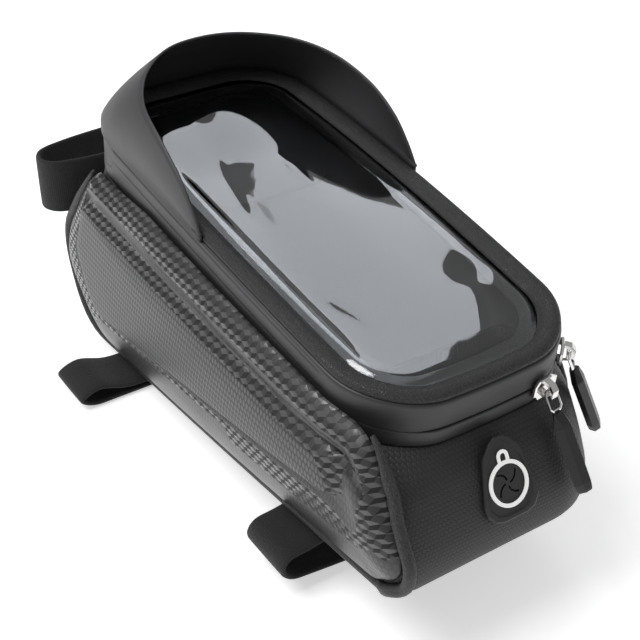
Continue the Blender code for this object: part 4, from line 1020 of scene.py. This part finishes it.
def make_straps(mats):
    for name, node, y, controls in (("strap_web_rear", "strap_rear", -57.5, rear_strap),
                                    ("strap_web_front", "strap_front", 78.0, front_strap)):
        spots = [(x, lerp(-floor_drop, base_z(y), share) + offset) for x, share, offset in controls]
        strap = strip_ring(name, spline(spots, 8, True), 0.95, y - 12.2, y + 12.2, [mats["webbing"]])
        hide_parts(node)
        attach(strap, "root")
    controls = []
    for k in range(16):
        turn = 2 * math.pi * k / 16
        along = math.sin(turn)
        controls.append((50.0 * math.cos(turn), 138.0 + 12.0 * math.copysign(abs(along) ** 0.6, along)))
    strap = strip_ring("strap_web_head", spline(controls, 6, True), 0.95, head_strap_z - head_strap_half,
                       head_strap_z + head_strap_half, [mats["webbing"]], "z")
    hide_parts("strap_head")
    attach(strap, "root")


# Zip


def make_zip(mats):
    """Fine coil teeth on both sides of the slit."""
    plan = [Vector(p) for p in lid_loop(1.3)]
    left_start = side_steps + 2 * corner_steps + end_steps
    left_end = left_start + side_steps
    order = list(range(left_end + corner_steps, len(plan))) + list(range(0, left_start - corner_steps))
    path = [plan[i] for i in order]
    total = lengths(path)
    for name, node, body, depth, shift in (("coil_upper", "zip_coil_upper", "lid", 11.75, 0.0),
                                           ("coil_lower", "zip_coil_lower", "root", 12.85, 0.5)):
        verts, faces, uvs = [], [], []
        pitch = 1.5
        for n in range(1, int(total[-1] / pitch) - 1):
            goal = (n + shift) * pitch
            i = next(k for k in range(len(path) - 1) if total[k + 1] >= goal)
            spot = path[i].lerp(path[i + 1], (goal - total[i]) / (total[i + 1] - total[i]))
            run = (path[i + 1] - path[i]).normalized()
            inward = Vector((-run.y, run.x))
            base = len(verts)
            for u, v, w in ((-0.45, 0, -0.45), (0.45, 0, -0.45), (0.45, 0, 0.45), (-0.45, 0, 0.45)):
                for deep in (0.0, 1.6):
                    p = spot + run * u + inward * deep
                    verts.append((p.x, p.y, crown(p.y) - depth + w))
            for a, b, c, d in ((0, 2, 4, 6), (1, 7, 5, 3), (0, 1, 3, 2), (2, 3, 5, 4), (4, 5, 7, 6),
                               (6, 7, 1, 0)):
                faces.append((base + a, base + b, base + c, base + d))
                uvs.append([(0, 0)] * 4)
        coil = piece(name, verts, faces, uvs, [mats["coil"]], to_lid)
        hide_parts(node)
        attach(coil, body)


def finish_nodes(mats):
    """CAD pieces that keep their shape and get their finish."""
    finishes = {"cable_port": "rubber", "port_ring": "white", "base_board": "lining",
                "base_pad": "rubber", "head_anchor": "webbing", "window_frame": "gloss",
                "phone_tray": "lining", "phone_pad": "lining", "slider_rear": "chrome",
                "slider_side": "chrome", "link_rear": "chrome", "link_side": "chrome",
                "tab_rear": "tab", "tab_side": "tab", "zip_stop_rear": "chrome",
                "zip_stop_front": "chrome"}
    for node, mat in finishes.items():
        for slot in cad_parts[node].material_slots:
            slot.material = mats[mat]


def add_stage():
    """A pale floor under a bright sky."""
    mesh = bpy.data.meshes.new("floor")
    reach = 4.0
    corners = [(-reach, -reach), (reach, -reach), (reach, reach), (-reach, reach)]
    mesh.from_pydata([(x, y, floor_z * MM) for x, y in corners], [], [(0, 1, 2, 3)])
    floor = bpy.data.objects.new("floor", mesh)
    bpy.context.scene.collection.objects.link(floor)
    mat, tree, bsdf = shader("floor_paper", (0.9, 0.9, 0.9), 0.9, Specular_IOR_Level=0.1)
    bsdf.inputs["Emission Color"].default_value = (1, 1, 1, 1)
    bsdf.inputs["Emission Strength"].default_value = 0.5
    vary(tree, bsdf, object_noise(tree, 3, 2), (0.89, 0.89, 0.9), (0.91, 0.91, 0.91))
    mesh.materials.append(mat)
    world = bpy.data.worlds.new("studio")
    world.use_nodes = True
    world.node_tree.nodes["Background"].inputs[0].default_value = (1, 1, 1, 1)
    world.node_tree.nodes["Background"].inputs[1].default_value = 0.36
    bpy.context.scene.world = world


add_camera()
add_stage()
bpy.context.scene.view_settings.view_transform = "Standard"
lid_middle = to_lid @ Vector((7, -10, 0))
toward = Vector((0.4109, 0.5112, 0.7549))
add_area("softbox", lid_middle + toward * 900, lid_middle, (330, 480), 1.0, (0.9, 0.94, 1.0))
add_area("top_light", (-500, 150, 900), (0, 0, 60), (600, 600), 7.0)

materials = make_materials()
make_body(materials)
for on_left in (True, False):
    make_panel(on_left, materials)
    make_piping(on_left, materials)
make_bands(materials)
make_lid(materials)
make_visor(materials)
make_straps(materials)
make_zip(materials)
finish_nodes(materials)
